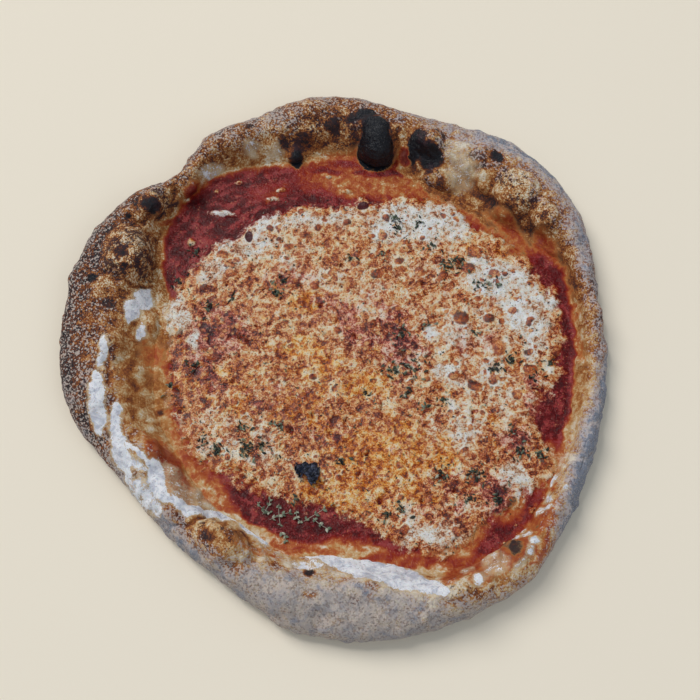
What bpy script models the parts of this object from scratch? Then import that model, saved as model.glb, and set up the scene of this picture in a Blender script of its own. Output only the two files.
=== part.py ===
"""A margherita pizza: one uneven, blistered dough crust, the tomato sauce spread inside its rim,
the sheet of melted mozzarella on the sauce and one burnt basil leaf on the cheese.

Each of the four is one closed solid.  The dimensions below are in millimetres and degrees.
Angles run anticlockwise from +X, seen from above, and radii are measured from the pole, a point
near the middle of the sauce.  The finished pizza stands on z = 0 with its box centred on the origin.
"""
import math

import bmesh
import bpy
from mathutils import Vector

MM = 0.001

# Clearance kept between touching solids.
GAP = 0.3

# Dough.
BASE_THICKNESS = 4.0
OUTER_RADIUS = {
    0: 159, 10: 161, 20: 167, 32: 179, 40: 183, 52: 185, 62: 180, 75: 176, 86: 180, 96: 180,
    105: 173, 117: 171, 125: 158, 130: 158, 137: 165, 152: 166, 164: 161, 180: 155, 190: 149,
    201: 138, 211: 131, 226: 129, 240: 131, 251: 137, 264: 147, 280: 153, 296: 157, 312: 161,
    324: 158, 345: 156,
}
FOOT_RADIUS = {
    0: 140, 15: 146, 28: 149, 38: 138, 48: 133, 62: 133, 75: 136, 105: 138, 120: 143, 135: 135,
    146: 121, 156: 106, 166: 98, 180: 95, 195: 95, 210: 93, 222: 94, 232: 97, 240: 96, 258: 101,
    272: 99, 286: 108, 300: 126, 314: 136, 340: 137,
}
CREST_HEIGHT = {
    0: 16, 20: 18, 42: 24, 60: 22, 78: 24, 100: 23, 120: 20, 135: 22, 150: 24, 175: 22, 200: 21,
    225: 20, 242: 23, 270: 22, 292: 23, 315: 21, 335: 17,
}
CREST_AT = 0.56          # the crest's place, as a share of the way from foot to outer edge
WIDEST_AT = 0.42         # height of the outermost point, as a share of the crest's
TUCK = 13.0              # how far the rim bellies out over the flat underside

# Large blisters of the rim, and the dents between them, which have a negative height: angle, place
# over the rim (0 foot, 1 crest, 2 outermost point, 3 underside), half length along the rim, half
# width across it, height.
BLISTERS = (
    (160, 1.60, 15, 10, 2.5),
    (150, 0.70, 22, 17, 9.0),
    (143, 1.10, 5, 10, -2.5),
    (137, 0.75, 11, 10, 6.0),
    (131, 0.90, 5, 10, -3.0),
    (126, 0.55, 9, 9, 6.0),
    (112, 1.05, 18, 14, 4.0),
    (105, 0.80, 6, 10, -2.0),
    (99, 0.30, 8, 8, 4.0),
    (95, 1.20, 15, 12, 3.5),
    (87, 0.90, 6, 12, -2.5),
    (79, 0.50, 13, 17, 8.0),
    (73, 0.90, 5, 11, -2.0),
    (67, 0.95, 12, 12, 5.5),
    (61, 0.30, 15, 12, 4.0),
    (56, 1.20, 9, 9, 3.5),
    (44, 0.50, 15, 15, 7.5),
    (35, 0.75, 9, 10, 4.5),
    (27, 1.20, 9, 9, -2.0),
    (12, 1.20, 16, 9, 2.5),
    (345, 1.25, 18, 10, 2.5),
    (328, 0.80, 13, 10, 3.5),
    (314, 0.65, 9, 9, 4.5),
    (306, 1.20, 7, 10, -2.5),
    (298, 1.15, 17, 14, 4.0),
    (279, 0.85, 20, 13, 4.0),
    (268, 1.45, 8, 9, -2.5),
    (260, 1.20, 14, 14, 3.5),
    (250, 0.90, 6, 12, -2.5),
    (240, 0.95, 18, 15, 6.0),
    (221, 1.10, 13, 12, 3.5),
    (213, 0.90, 6, 9, -2.0),
    (205, 0.80, 12, 12, 4.0),
    (188, 1.20, 15, 14, 4.0),
    (180, 0.80, 6, 10, -2.0),
    (174, 0.85, 13, 12, 4.0),
    (164, 0.28, 12, 10, 4.0),
)
BLISTER_FADE = 0.30      # blisters fade out over this share of the way, at the foot and underside

# Sauce.
SAUCE_THICKNESS = 1.5
SAUCE_CLEARANCE = 0.9    # left between the sauce's sloping edge and the rim's inner slope

# Cheese: radius of its edge, and the thickness of the sheet at its edge, inside it and between.
CHEESE_RADIUS = {
    0: 128, 10: 140, 22: 142, 33: 135, 45: 129, 56: 132, 66: 125, 76: 116, 90: 112, 102: 117,
    118: 115, 134: 113, 146: 108, 156: 104, 166: 95, 180: 91, 192: 92, 208: 87, 222: 82,
    240: 78, 256: 77, 268: 80, 284: 94, 292: 108, 302: 121, 316: 124, 328: 127, 336: 134,
    346: 115,
}
CHEESE_EDGE = 1.0
CHEESE_THICKNESS = 2.4
CHEESE_SWELL = 0.5       # height of the sheet's low waves

# Burnt basil leaf.
LEAF_ANGLE = 258
LEAF_RADIUS = 60
LEAF_LENGTH = 16.0
LEAF_WIDTH = 9.5
LEAF_THICKNESS = 0.9
LEAF_CURL = 2.0          # rise of the leaf's middle over its two ends
LEAF_TURN = 12           # direction that the leaf's length points in

# Faces.
SECTORS = 192            # around the crust and the sauce
CHEESE_SECTORS = 96
SLOPE_STEPS = 5
UPPER_STEPS = 5
LOWER_STEPS = 4
LEAF_STEPS_LONG = 12
LEAF_STEPS_WIDE = 6
SMOOTH_UNDER = math.radians(40)

# Finish of each solid: linear colour and roughness.
FINISH = {
    "crust": ((0.42, 0.27, 0.15), 0.85),
    "tomato_sauce": ((0.20, 0.03, 0.02), 0.35),
    "mozzarella": ((0.62, 0.45, 0.26), 0.40),
    "charred_basil_leaf": ((0.02, 0.02, 0.02), 0.70),
}


def smoothstep(x):
    """Rise smoothly from 0 at x = 0 to 1 at x = 1."""
    x = min(1.0, max(0.0, x))
    return x * x * (3 - 2 * x)


def ring_curve(stations):
    """A smooth closed curve through {angle: value} stations, as a function of the angle."""
    angles = sorted(stations)
    count = len(angles)

    def span(start, end):
        return (angles[end % count] - angles[start % count]) % 360

    def slope(index):
        before, after = (index - 1) % count, (index + 1) % count
        rise = stations[angles[after]] - stations[angles[before]]
        return rise / (span(index - 1, index) + span(index, index + 1))

    def value(angle):
        angle %= 360
        index = max((k for k in range(count) if angles[k] <= angle), default=count - 1)
        width = span(index, index + 1)
        t = ((angle - angles[index]) % 360) / width
        start = stations[angles[index]]
        end = stations[angles[(index + 1) % count]]
        return (
            start * (2 * t**3 - 3 * t**2 + 1)
            + end * (3 * t**2 - 2 * t**3)
            + slope(index) * width * (t**3 - 2 * t**2 + t)
            + slope((index + 1) % count) * width * (t**3 - t**2)
        )

    return value


outer_radius = ring_curve(OUTER_RADIUS)
foot_radius = ring_curve(FOOT_RADIUS)
crest_height = ring_curve(CREST_HEIGHT)
cheese_radius = ring_curve(CHEESE_RADIUS)


def polar(angle, radius, height):
    """A point from its angle, its distance from the pole and its height."""
    turn = math.radians(angle)
    return Vector((radius * math.cos(turn), radius * math.sin(turn), height))


def plain_section(angle, way):
    """Radius and height of the rim without blisters, at a place from foot (0) to underside (3)."""
    foot, outer, crest = foot_radius(angle), outer_radius(angle), crest_height(angle)
    crest_radius = foot + CREST_AT * (outer - foot)
    widest = WIDEST_AT * crest
    turn = math.pi / 2 * (way % 1.0 if way < 3 else 1.0)
    if way < 1:
        rise = (crest - BASE_THICKNESS) * math.sin(turn) ** 2
        return foot + way * (crest_radius - foot), BASE_THICKNESS + rise
    if way < 2:
        return (
            crest_radius + (outer - crest_radius) * math.sin(turn),
            widest + (crest - widest) * math.cos(turn),
        )
    return outer - TUCK * (1 - math.cos(turn)), widest * (1 - math.sin(turn))


def rim_point(angle, way):
    """A point of the rim's skin, pushed out along the section's normal by the blisters."""
    radius, height = plain_section(angle, way)
    step = 0.02
    before = plain_section(angle, max(0.0, way - step))
    after = plain_section(angle, min(3.0, way + step))
    along = Vector((after[0] - before[0], after[1] - before[1])).normalized()
    fade = smoothstep(way / BLISTER_FADE) * smoothstep((3 - way) / BLISTER_FADE)
    here = polar(angle, radius, height)
    push = 0.0
    for middle, place, half_length, half_width, rise in BLISTERS:
        centre = polar(middle, *plain_section(middle, place))
        offset = here - centre
        tangent = polar(middle + 90, 1.0, 0.0)
        length = offset.dot(tangent)
        width = (offset - length * tangent).length
        square = (length / half_length) ** 2 + (width / half_width) ** 2
        push += rise * max(0.0, 1 - square) ** 2
    push *= fade
    return polar(angle, radius - push * along.y, height + push * along.x)


def steps(start, end, count):
    """Evenly spaced values after start, up to and including end."""
    return [start + (end - start) * (k + 1) / count for k in range(count)]


RIM_WAYS = [0.0] + steps(0, 1, SLOPE_STEPS) + steps(1, 2, UPPER_STEPS) + steps(2, 3, LOWER_STEPS)
RIM = [
    [rim_point(360 * k / SECTORS, way) for k in range(SECTORS)]
    for way in RIM_WAYS
]


def box_middle(rings):
    """The middle, in plan, of the box round some rings of points."""
    points = [point for ring in rings for point in ring]
    return [
        (min(point[axis] for point in points) + max(point[axis] for point in points)) / 2
        for axis in (0, 1)
    ]


POLE_SHIFT = box_middle(RIM)


def make_material(name):
    """The plain finish of one solid."""
    colour, roughness = FINISH[name]
    material = bpy.data.materials.new(name)
    material.use_nodes = True
    shader = material.node_tree.nodes["Principled BSDF"]
    shader.inputs["Base Color"].default_value = (*colour, 1.0)
    shader.inputs["Roughness"].default_value = roughness
    shader.inputs["Metallic"].default_value = 0.0
    return material


def add_solid(name, shape, sharp=SMOOTH_UNDER):
    """Turn a bmesh in millimetres, measured from the pole, into a finished object."""
    bmesh.ops.recalc_face_normals(shape, faces=shape.faces)
    mesh = bpy.data.meshes.new(name)
    shape.to_mesh(mesh)
    shape.free()
    for vertex in mesh.vertices:
        x, y, z = vertex.co
        vertex.co = ((x - POLE_SHIFT[0]) * MM, (y - POLE_SHIFT[1]) * MM, z * MM)
    mesh.shade_smooth()
    mesh.set_sharp_from_angle(angle=sharp)
    mesh.materials.append(make_material(name))
    bpy.context.collection.objects.link(bpy.data.objects.new(name, mesh))


def stack_of_rings(rings, first_middle, last_middle):
    """Skin a stack of closed rings and close its two ends with fans round their middles."""
    shape = bmesh.new()
    layers = [[shape.verts.new(point) for point in ring] for ring in rings]
    for lower, upper in zip(layers, layers[1:]):
        for k in range(len(lower)):
            after = (k + 1) % len(lower)
            shape.faces.new((lower[k], lower[after], upper[after], upper[k]))
    for layer, middle in ((layers[0], first_middle), (layers[-1], last_middle)):
        hub = shape.verts.new(middle)
        for k in range(len(layer)):
            shape.faces.new((layer[k], layer[(k + 1) % len(layer)], hub))
    return shape


def build_crust():
    """The dough: a thin round base whose edge has risen into a hollow-looking, blistered rim."""
    add_solid("crust", stack_of_rings(RIM, (0, 0, BASE_THICKNESS), (0, 0, 0)))


def slope_radius(sector, height):
    """Radius at which one sector's inner slope reaches a height."""
    for lower, upper in zip(RIM, RIM[1:]):
        start, end = lower[sector], upper[sector]
        if end.z >= height:
            share = (height - start.z) / (end.z - start.z)
            return start.lerp(end, share).xy.length
    raise ValueError("the rim is lower than the sauce")


def build_sauce():
    """The sauce: a thin layer on the base, whose edge runs a little way up the rim."""
    bottom = BASE_THICKNESS + GAP
    top = bottom + SAUCE_THICKNESS

    def edge(height):
        return [
            polar(360 * k / SECTORS, slope_radius(k, height) - SAUCE_CLEARANCE, height)
            for k in range(SECTORS)
        ]

    rings = [edge(bottom), edge((bottom + top) / 2), edge(top)]
    add_solid("tomato_sauce", stack_of_rings(rings, (0, 0, bottom), (0, 0, top)))
    return top


def cheese_top(angle, share, bottom):
    """Height of the cheese's upper face at a share of the way from pole to edge."""
    body = CHEESE_EDGE + (CHEESE_THICKNESS - CHEESE_EDGE) * smoothstep((1 - share) / 0.12)
    point = polar(angle, share * cheese_radius(angle), 0)
    wave = math.sin(point.x / 11) * math.cos(point.y / 13) + math.sin((point.x + point.y) / 23)
    return bottom + body + CHEESE_SWELL / 2 * wave * smoothstep((1 - share) / 0.2)


def build_cheese(sauce_top):
    """The cheese: a melted sheet with an uneven outline, low waves and a thin rounded edge."""
    bottom = sauce_top + GAP
    angles = [360 * k / CHEESE_SECTORS for k in range(CHEESE_SECTORS)]
    rings = [[polar(angle, cheese_radius(angle) - CHEESE_EDGE, bottom) for angle in angles]]
    rings.append([polar(angle, cheese_radius(angle), bottom + CHEESE_EDGE / 2) for angle in angles])
    for share in (0.985, 0.93, 0.86, 0.72, 0.56, 0.40, 0.22):
        rings.append([
            polar(angle, share * cheese_radius(angle), cheese_top(angle, share, bottom))
            for angle in angles
        ])
    add_solid("mozzarella", stack_of_rings(rings, (0, 0, bottom), (0, 0, cheese_top(0, 0, bottom))))
    return bottom + CHEESE_THICKNESS + CHEESE_SWELL


def build_leaf(cheese_height):
    """The basil leaf: a pointed, arched blade with a thin edge, lying on the cheese."""
    middle = polar(LEAF_ANGLE, LEAF_RADIUS, cheese_height + GAP)
    turn = math.radians(LEAF_TURN)
    across = [2 * k / LEAF_STEPS_WIDE - 1 for k in range(LEAF_STEPS_WIDE + 1)]
    along = [2 * k / LEAF_STEPS_LONG - 1 for k in range(1, LEAF_STEPS_LONG)]

    def point(length, width, side):
        half_width = LEAF_WIDTH / 2 * math.cos(math.pi / 2 * length) ** 0.8
        arch = LEAF_CURL * (1 - length**2)
        x, y = LEAF_LENGTH / 2 * length, half_width * width
        thick = LEAF_THICKNESS * (1 - 0.7 * width**2)
        z = arch + side * thick / 2 + LEAF_THICKNESS / 2
        return middle + Vector((
            x * math.cos(turn) - y * math.sin(turn),
            x * math.sin(turn) + y * math.cos(turn),
            z,
        ))

    rings = [
        [point(length, width, 1) for width in across]
        + [point(length, width, -1) for width in reversed(across)]
        for length in along
    ]
    tips = (middle + Vector((end * LEAF_LENGTH / 2 * math.cos(turn),
                             end * LEAF_LENGTH / 2 * math.sin(turn),
                             LEAF_THICKNESS / 2)) for end in (-1, 1))
    add_solid("charred_basil_leaf", stack_of_rings(rings, *tips))


def main():
    for item in list(bpy.data.objects):
        bpy.data.objects.remove(item, do_unlink=True)
    build_crust()
    sauce_top = build_sauce()
    cheese_height = build_cheese(sauce_top)
    build_leaf(cheese_height)


main()
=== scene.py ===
import math

import bmesh
import bpy
import numpy as np
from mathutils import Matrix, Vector


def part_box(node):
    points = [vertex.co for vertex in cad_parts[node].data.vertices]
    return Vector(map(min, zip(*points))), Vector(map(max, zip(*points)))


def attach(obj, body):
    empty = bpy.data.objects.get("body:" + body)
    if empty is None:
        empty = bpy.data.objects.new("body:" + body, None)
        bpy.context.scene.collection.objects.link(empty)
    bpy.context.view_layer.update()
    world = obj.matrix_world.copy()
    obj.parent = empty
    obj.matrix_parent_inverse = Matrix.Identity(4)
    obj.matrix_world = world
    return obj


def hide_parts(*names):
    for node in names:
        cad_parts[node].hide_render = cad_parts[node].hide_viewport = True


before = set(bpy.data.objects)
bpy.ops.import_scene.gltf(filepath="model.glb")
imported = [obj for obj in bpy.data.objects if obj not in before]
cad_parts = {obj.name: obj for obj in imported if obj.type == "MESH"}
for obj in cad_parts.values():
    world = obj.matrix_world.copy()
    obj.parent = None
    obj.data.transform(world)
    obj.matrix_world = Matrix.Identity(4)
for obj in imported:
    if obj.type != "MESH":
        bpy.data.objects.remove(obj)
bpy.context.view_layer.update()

MM = 0.001

# ---------------------------------------------------------------- shape of the pizza, as in the CAD

BASE_THICKNESS = 4.0
OUTER_RADIUS = {
    0: 159, 10: 161, 20: 167, 32: 179, 40: 183, 52: 185, 62: 180, 75: 176, 86: 180, 96: 180,
    105: 173, 117: 171, 125: 158, 130: 158, 137: 165, 152: 166, 164: 161, 180: 155, 190: 149,
    201: 138, 211: 131, 226: 129, 240: 131, 251: 137, 264: 147, 280: 153, 296: 157, 312: 161,
    324: 158, 345: 156,
}
FOOT_RADIUS = {
    0: 140, 15: 146, 28: 149, 38: 138, 48: 133, 62: 133, 75: 136, 105: 138, 120: 143, 135: 135,
    146: 121, 156: 106, 166: 98, 180: 95, 195: 95, 210: 93, 222: 94, 232: 97, 240: 96, 258: 101,
    272: 99, 286: 108, 300: 126, 314: 136, 340: 137,
}
CREST_HEIGHT = {
    0: 16, 20: 18, 42: 24, 60: 22, 78: 24, 100: 23, 120: 20, 135: 22, 150: 24, 175: 22, 200: 21,
    225: 20, 242: 23, 270: 22, 292: 23, 315: 21, 335: 17,
}
CREST_AT = 0.56
WIDEST_AT = 0.42
TUCK = 13.0
BLISTERS = (
    (160, 1.60, 15, 10, 2.5),
    (150, 0.70, 22, 17, 9.0),
    (143, 1.10, 5, 10, -2.5),
    (137, 0.75, 11, 10, 6.0),
    (131, 0.90, 5, 10, -3.0),
    (126, 0.55, 9, 9, 6.0),
    (112, 1.05, 18, 14, 4.0),
    (105, 0.80, 6, 10, -2.0),
    (99, 0.30, 8, 8, 4.0),
    (95, 1.20, 15, 12, 3.5),
    (87, 0.90, 6, 12, -2.5),
    (79, 0.50, 13, 17, 8.0),
    (73, 0.90, 5, 11, -2.0),
    (67, 0.95, 12, 12, 5.5),
    (61, 0.30, 15, 12, 4.0),
    (56, 1.20, 9, 9, 3.5),
    (44, 0.50, 15, 15, 7.5),
    (35, 0.75, 9, 10, 4.5),
    (27, 1.20, 9, 9, -2.0),
    (12, 1.20, 16, 9, 2.5),
    (345, 1.25, 18, 10, 2.5),
    (328, 0.80, 13, 10, 3.5),
    (314, 0.65, 9, 9, 4.5),
    (306, 1.20, 7, 10, -2.5),
    (298, 1.15, 17, 14, 4.0),
    (279, 0.85, 20, 13, 4.0),
    (268, 1.45, 8, 9, -2.5),
    (260, 1.20, 14, 14, 3.5),
    (250, 0.90, 6, 12, -2.5),
    (240, 0.95, 18, 15, 6.0),
    (221, 1.10, 13, 12, 3.5),
    (213, 0.90, 6, 9, -2.0),
    (205, 0.80, 12, 12, 4.0),
    (188, 1.20, 15, 14, 4.0),
    (180, 0.80, 6, 10, -2.0),
    (174, 0.85, 13, 12, 4.0),
    (164, 0.28, 12, 10, 4.0),
)
BLISTER_FADE = 0.30
CHEESE_RADIUS = {
    0: 128, 10: 140, 22: 142, 33: 135, 45: 129, 56: 132, 66: 125, 76: 116, 90: 112, 102: 117,
    118: 115, 134: 113, 146: 108, 156: 104, 166: 95, 180: 91, 192: 92, 208: 87, 222: 82,
    240: 78, 256: 77, 268: 80, 284: 94, 292: 108, 302: 121, 316: 124, 328: 127, 336: 134,
    346: 115,
}

# --------------------------------------------------------------------------------- camera and light

CAMERA_ELEVATION = 70
CAMERA_DISTANCE = 675
CAMERA_LENS = 60
CAMERA_AIM = (11.5, 13.4, 10)          # from the pole


# ------------------------------------------------------------------------------------- arithmetic

def smoothstep(x, low=0.0, high=1.0):
    """Rise smoothly from 0 at low to 1 at high; falls if high is below low."""
    t = np.clip((x - low) / (high - low), 0.0, 1.0)
    return t * t * (3 - 2 * t)


def ring_curve(stations):
    """A smooth closed curve through {angle: value} stations, as a function of the angle."""
    angles = np.array(sorted(stations), float)
    values = np.array([stations[a] for a in sorted(stations)], float)
    spans = np.diff(np.append(angles, angles[0] + 360))
    slopes = (np.roll(values, -1) - np.roll(values, 1)) / (spans + np.roll(spans, 1))

    def value(angle):
        angle = np.asarray(angle, float) % 360
        i = np.searchsorted(angles, angle, side="right") - 1
        j = (i + 1) % len(angles)
        width = spans[i]
        t = ((angle - angles[i]) % 360) / width
        return (
            values[i] * (2 * t**3 - 3 * t**2 + 1)
            + values[j] * (3 * t**2 - 2 * t**3)
            + slopes[i] * width * (t**3 - 2 * t**2 + t)
            + slopes[j] * width * (t**3 - t**2)
        )

    return value


outer_radius = ring_curve(OUTER_RADIUS)
foot_radius = ring_curve(FOOT_RADIUS)
crest_height = ring_curve(CREST_HEIGHT)
cheese_radius = ring_curve(CHEESE_RADIUS)


def hashed(ix, iy, iz, seed):
    """A number from 0 to 1 for each cell of a grid."""
    h = (
        ix.astype(np.uint32) * np.uint32(374761393)
        + iy.astype(np.uint32) * np.uint32(668265263)
        + iz.astype(np.uint32) * np.uint32(2246822519)
        + np.uint32(seed * 3266489917 % 2**32)
    )
    h = (h ^ (h >> np.uint32(13))) * np.uint32(1274126177)
    h = (h ^ (h >> np.uint32(15))) * np.uint32(2654435761)
    return (h ^ (h >> np.uint32(16))).astype(float) / 2**32


def noise(points, size, seed):
    """Smooth noise from about -1 to 1, whose lumps are about size across."""
    p = points / size
    cell = np.floor(p).astype(np.int64)
    part = p - cell
    ease = part**3 * (part * (part * 6 - 15) + 10)
    total = 0.0
    for corner in range(8):
        step = np.array([corner & 1, corner >> 1 & 1, corner >> 2 & 1])
        ix, iy, iz = (cell[..., axis] + step[axis] for axis in range(3))
        turn = 2 * np.pi * hashed(ix, iy, iz, seed)
        lift = 2 * hashed(ix, iy, iz, seed + 101) - 1
        flat = np.sqrt(1 - lift**2)
        gap = part - step
        dot = gap[..., 0] * flat * np.cos(turn) + gap[..., 1] * flat * np.sin(turn) + gap[..., 2] * lift
        share = np.prod(np.where(step == 1, ease, 1 - ease), axis=-1)
        total = total + share * dot
    return total * 1.9


def rough(points, size, seed, octaves=3, gain=0.5):
    """Noise with finer noise on it."""
    total, weight, strength = 0.0, 0.0, 1.0
    for octave in range(octaves):
        total = total + strength * noise(points, size / 2**octave, seed + 7 * octave)
        weight += strength
        strength *= gain
    return total / weight**0.75


def flat_points(x, y, z=0.0):
    """Points in an array from arrays of coordinates."""
    x, y, z = np.broadcast_arrays(x, y, z)
    return np.stack([x, y, z], axis=-1).astype(float)


# ------------------------------------------------------------------------------- making the meshes

def plain_section(angle, way):
    """Radius and height of the plain rim, at a place from foot (0) over crest (1) and outermost
    point (2) to underside (3)."""
    foot, outer, crest = foot_radius(angle), outer_radius(angle), crest_height(angle)
    crest_radius = foot + CREST_AT * (outer - foot)
    widest = WIDEST_AT * crest
    inner, upper, lower = (np.clip(way - k, 0, 1) * np.pi / 2 for k in (0, 1, 2))
    radius = np.where(
        way < 1,
        foot + way * (crest_radius - foot),
        np.where(
            way < 2,
            crest_radius + (outer - crest_radius) * np.sin(upper),
            outer - TUCK * (1 - np.cos(lower)),
        ),
    )
    height = np.where(
        way < 1,
        BASE_THICKNESS + (crest - BASE_THICKNESS) * np.sin(inner) ** 2,
        np.where(way < 2, widest + (crest - widest) * np.cos(upper), widest * (1 - np.sin(lower))),
    )
    return radius, height


def polar(angle, radius, height=0.0):
    """Points from angles, distances from the pole and heights."""
    turn = np.radians(angle)
    return flat_points(radius * np.cos(turn), radius * np.sin(turn), height)


def blistered_rim(angle, way):
    """Points of the rim's skin with the CAD's large blisters."""
    step = 0.02
    radius, height = plain_section(angle, way)
    before = plain_section(angle, np.maximum(way - step, 0))
    after = plain_section(angle, np.minimum(way + step, 3))
    out, up = after[0] - before[0], after[1] - before[1]
    length = np.hypot(out, up)
    here = polar(angle, radius, height)
    push = np.zeros_like(radius)
    for middle, place, half_length, half_width, rise in BLISTERS:
        centre = polar(middle, *plain_section(np.float64(middle), np.float64(place)))
        offset = here - centre
        tangent = polar(middle + 90, 1.0)
        along = offset @ tangent
        across = np.linalg.norm(offset - along[..., None] * tangent, axis=-1)
        square = (along / half_length) ** 2 + (across / half_width) ** 2
        push += rise * np.clip(1 - square, 0, None) ** 2
    push *= smoothstep(way / BLISTER_FADE) * smoothstep((3 - way) / BLISTER_FADE)
    return polar(angle, radius - push * up / length, height + push * out / length)


def middle_of(points):
    """The middle of the box round some points, in plan."""
    flat = points.reshape(-1, 3)[:, :2]
    return (flat.min(axis=0) + flat.max(axis=0)) / 2


crust_low, crust_high = (np.array(corner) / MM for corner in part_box("crust"))
SAUCE_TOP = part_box("tomato_sauce")[1].z / MM
CHEESE_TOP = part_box("mozzarella")[1].z / MM
outline_angles = np.arange(0, 360, 1.875)[None, :]
outline_ways = np.linspace(1, 3, 60)[:, None]
outline_shift = middle_of(blistered_rim(*np.broadcast_arrays(outline_angles, outline_ways)))
POLE = np.append((crust_low + crust_high)[:2] / 2 - outline_shift, 0.0)


def to_frame(points):
    """Points measured from the pole in millimetres, in the frame in metres."""
    return (points.reshape(-1, 3) + POLE) * MM


def add_mesh(name, points, faces, material, fields=None, body="root"):
    """A smooth-shaded piece from points, faces and named per-point fields."""
    mesh = bpy.data.meshes.new(name)
    mesh.from_pydata(to_frame(points).tolist(), [], faces)
    for field, values in (fields or {}).items():
        layer = mesh.attributes.new(field, "FLOAT", "POINT")
        layer.data.foreach_set("value", np.asarray(values, np.float32).ravel())
    mesh.materials.append(material)
    mesh.validate()
    mesh.shade_smooth()
    piece = bpy.data.objects.new(name, mesh)
    bpy.context.collection.objects.link(piece)
    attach(piece, body)
    return piece


def ring_faces(rows, count, start=0):
    """Four-sided faces between rows of a closed polar grid."""
    j = np.arange(count)
    k = (j + 1) % count
    base = start + np.arange(rows - 1)[:, None] * count
    return np.stack([base + j, base + k, base + count + k, base + count + j], -1).reshape(-1, 4).tolist()


def thinning_disc(edge_start, count, edge_points, shares, height, below):
    """Close a ring of points by rings that shrink to its middle and halve their points where the
    ring is told to: (share of the radius, halve or not).  Returns extra points and faces."""
    points, faces = [], []
    total = edge_start + count
    previous = np.arange(edge_start, edge_start + count)
    outline = edge_points[:, :2]
    for share, halve in shares:
        outline = outline[::2] if halve else outline
        ring = np.column_stack([outline * share, height(outline * share)])
        now = total + np.arange(len(outline))
        total += len(outline)
        points.append(ring)
        step = 2 if halve else 1
        for j in range(len(now)):
            k = (j + 1) % len(now)
            far, near = previous[step * j], previous[(step * j + step) % len(previous)]
            if halve:
                between = previous[step * j + 1]
                faces += [(far, between, now[j]), (between, now[k], now[j]), (between, near, now[k])]
            else:
                faces.append((far, near, now[k], now[j]))
        previous = now
    hub = total
    points.append(np.column_stack([np.zeros((1, 2)), height(np.zeros((1, 2)))]))
    faces += [(previous[j], previous[(j + 1) % len(previous)], hub) for j in range(len(previous))]
    if below:
        faces = [face[::-1] for face in faces]
    return np.vstack(points), [tuple(map(int, face)) for face in faces]


# ----------------------------------------------------------------------------------------- materials

class Look:
    """A node material under construction; sizes of patterns are in millimetres."""

    def __init__(self, name):
        self.material = bpy.data.materials.new(name)
        self.material.use_nodes = True
        self.tree = self.material.node_tree
        self.shader = self.tree.nodes["Principled BSDF"]
        self.place = self.tree.nodes.new("ShaderNodeTexCoord").outputs["Object"]

    def node(self, kind, inputs=(), **settings):
        made = self.tree.nodes.new("ShaderNode" + kind)
        for key, value in settings.items():
            setattr(made, key, value)
        for key, value in dict(inputs).items():
            self.put(value, made.inputs[key])
        return made

    def put(self, value, socket):
        if isinstance(value, bpy.types.NodeSocket):
            self.tree.links.new(value, socket)
        elif isinstance(value, (tuple, list)) and len(value) == 3 and socket.type == "RGBA":
            socket.default_value = (*value, 1.0)
        else:
            socket.default_value = value

    def math(self, operation, *values):
        return self.node("Math", dict(enumerate(values)), operation=operation).outputs[0]

    def add(self, *values):
        total = values[0]
        for value in values[1:]:
            total = self.math("ADD", total, value)
        return total

    def times(self, first, second):
        return self.math("MULTIPLY", first, second)

    def step(self, value, low, high, start=0.0, end=1.0):
        inputs = {"Value": value, "From Min": low, "From Max": high, "To Min": start, "To Max": end}
        return self.node("MapRange", inputs, interpolation_type="SMOOTHSTEP").outputs["Result"]

    def mix(self, share, first, second, blend="MIX"):
        inputs = {"Factor": share, 6: first, 7: second}
        return self.node("Mix", inputs, data_type="RGBA", blend_type=blend).outputs[2]

    def ramp(self, value, *stops):
        made = self.node("ValToRGB", {"Fac": value})
        elements = made.color_ramp.elements
        elements.remove(elements[1])
        elements[0].position = stops[0][0]
        elements[0].color = (*stops[0][1], 1.0)
        for place, colour in stops[1:]:
            elements.new(place).color = (*colour, 1.0)
        return made.outputs["Color"]

    def field(self, name):
        return self.node("Attribute", attribute_name=name).outputs["Fac"]

    def grain(self, size, detail=2.0, roughness=0.5, distortion=0.0):
        """Noise round 0, mostly between -0.2 and 0.2."""
        inputs = {
            "Vector": self.place, "Scale": 1000 / size, "Detail": detail,
            "Roughness": roughness, "Distortion": distortion,
        }
        return self.math("SUBTRACT", self.node("TexNoise", inputs).outputs["Fac"], 0.5)

    def cells(self, size, feature="F1", output="Distance", **settings):
        inputs = {"Vector": self.place, "Scale": 1000 / size}
        return self.node("TexVoronoi", inputs, feature=feature, **settings).outputs[output]

    def finish(self, colour, roughness, height=None, depth=0.3, **uniform):
        """Wire the shader; height is a relief of the given depth in millimetres."""
        self.put(colour, self.shader.inputs["Base Color"])
        self.put(roughness, self.shader.inputs["Roughness"])
        if height is not None:
            inputs = {"Height": height, "Distance": depth * MM, "Strength": 1.0}
            self.put(self.node("Bump", inputs).outputs["Normal"], self.shader.inputs["Normal"])
        for name, value in uniform.items():
            self.shader.inputs[name.replace("_", " ")].default_value = value
        return self.material


def srgb(red, green, blue, light=1.05):
    """Surface colour that shows as this 0-255 display colour under the scene's light."""
    def linear(part):
        part /= 255
        return part / 12.92 if part <= 0.04045 else ((part + 0.055) / 1.055) ** 2.4
    return tuple(min(0.95, linear(part) / light) for part in (red, green, blue))


def sauced(look, base, wet, strength=1.0):
    """Base colour where wet is 0, under an oily orange film at 0.4 and under deep red sauce at 1."""
    film = look.ramp(
        wet,
        (0.12, srgb(204, 156, 102)),
        (0.28, srgb(190, 116, 58)),
        (0.42, srgb(168, 80, 36)),
        (0.56, srgb(148, 48, 24)),
        (0.74, srgb(124, 18, 15)),
        (0.95, srgb(92, 3, 9)),
    )
    return look.mix(look.times(look.step(wet, 0.06, 0.38), strength), base, film)


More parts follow.
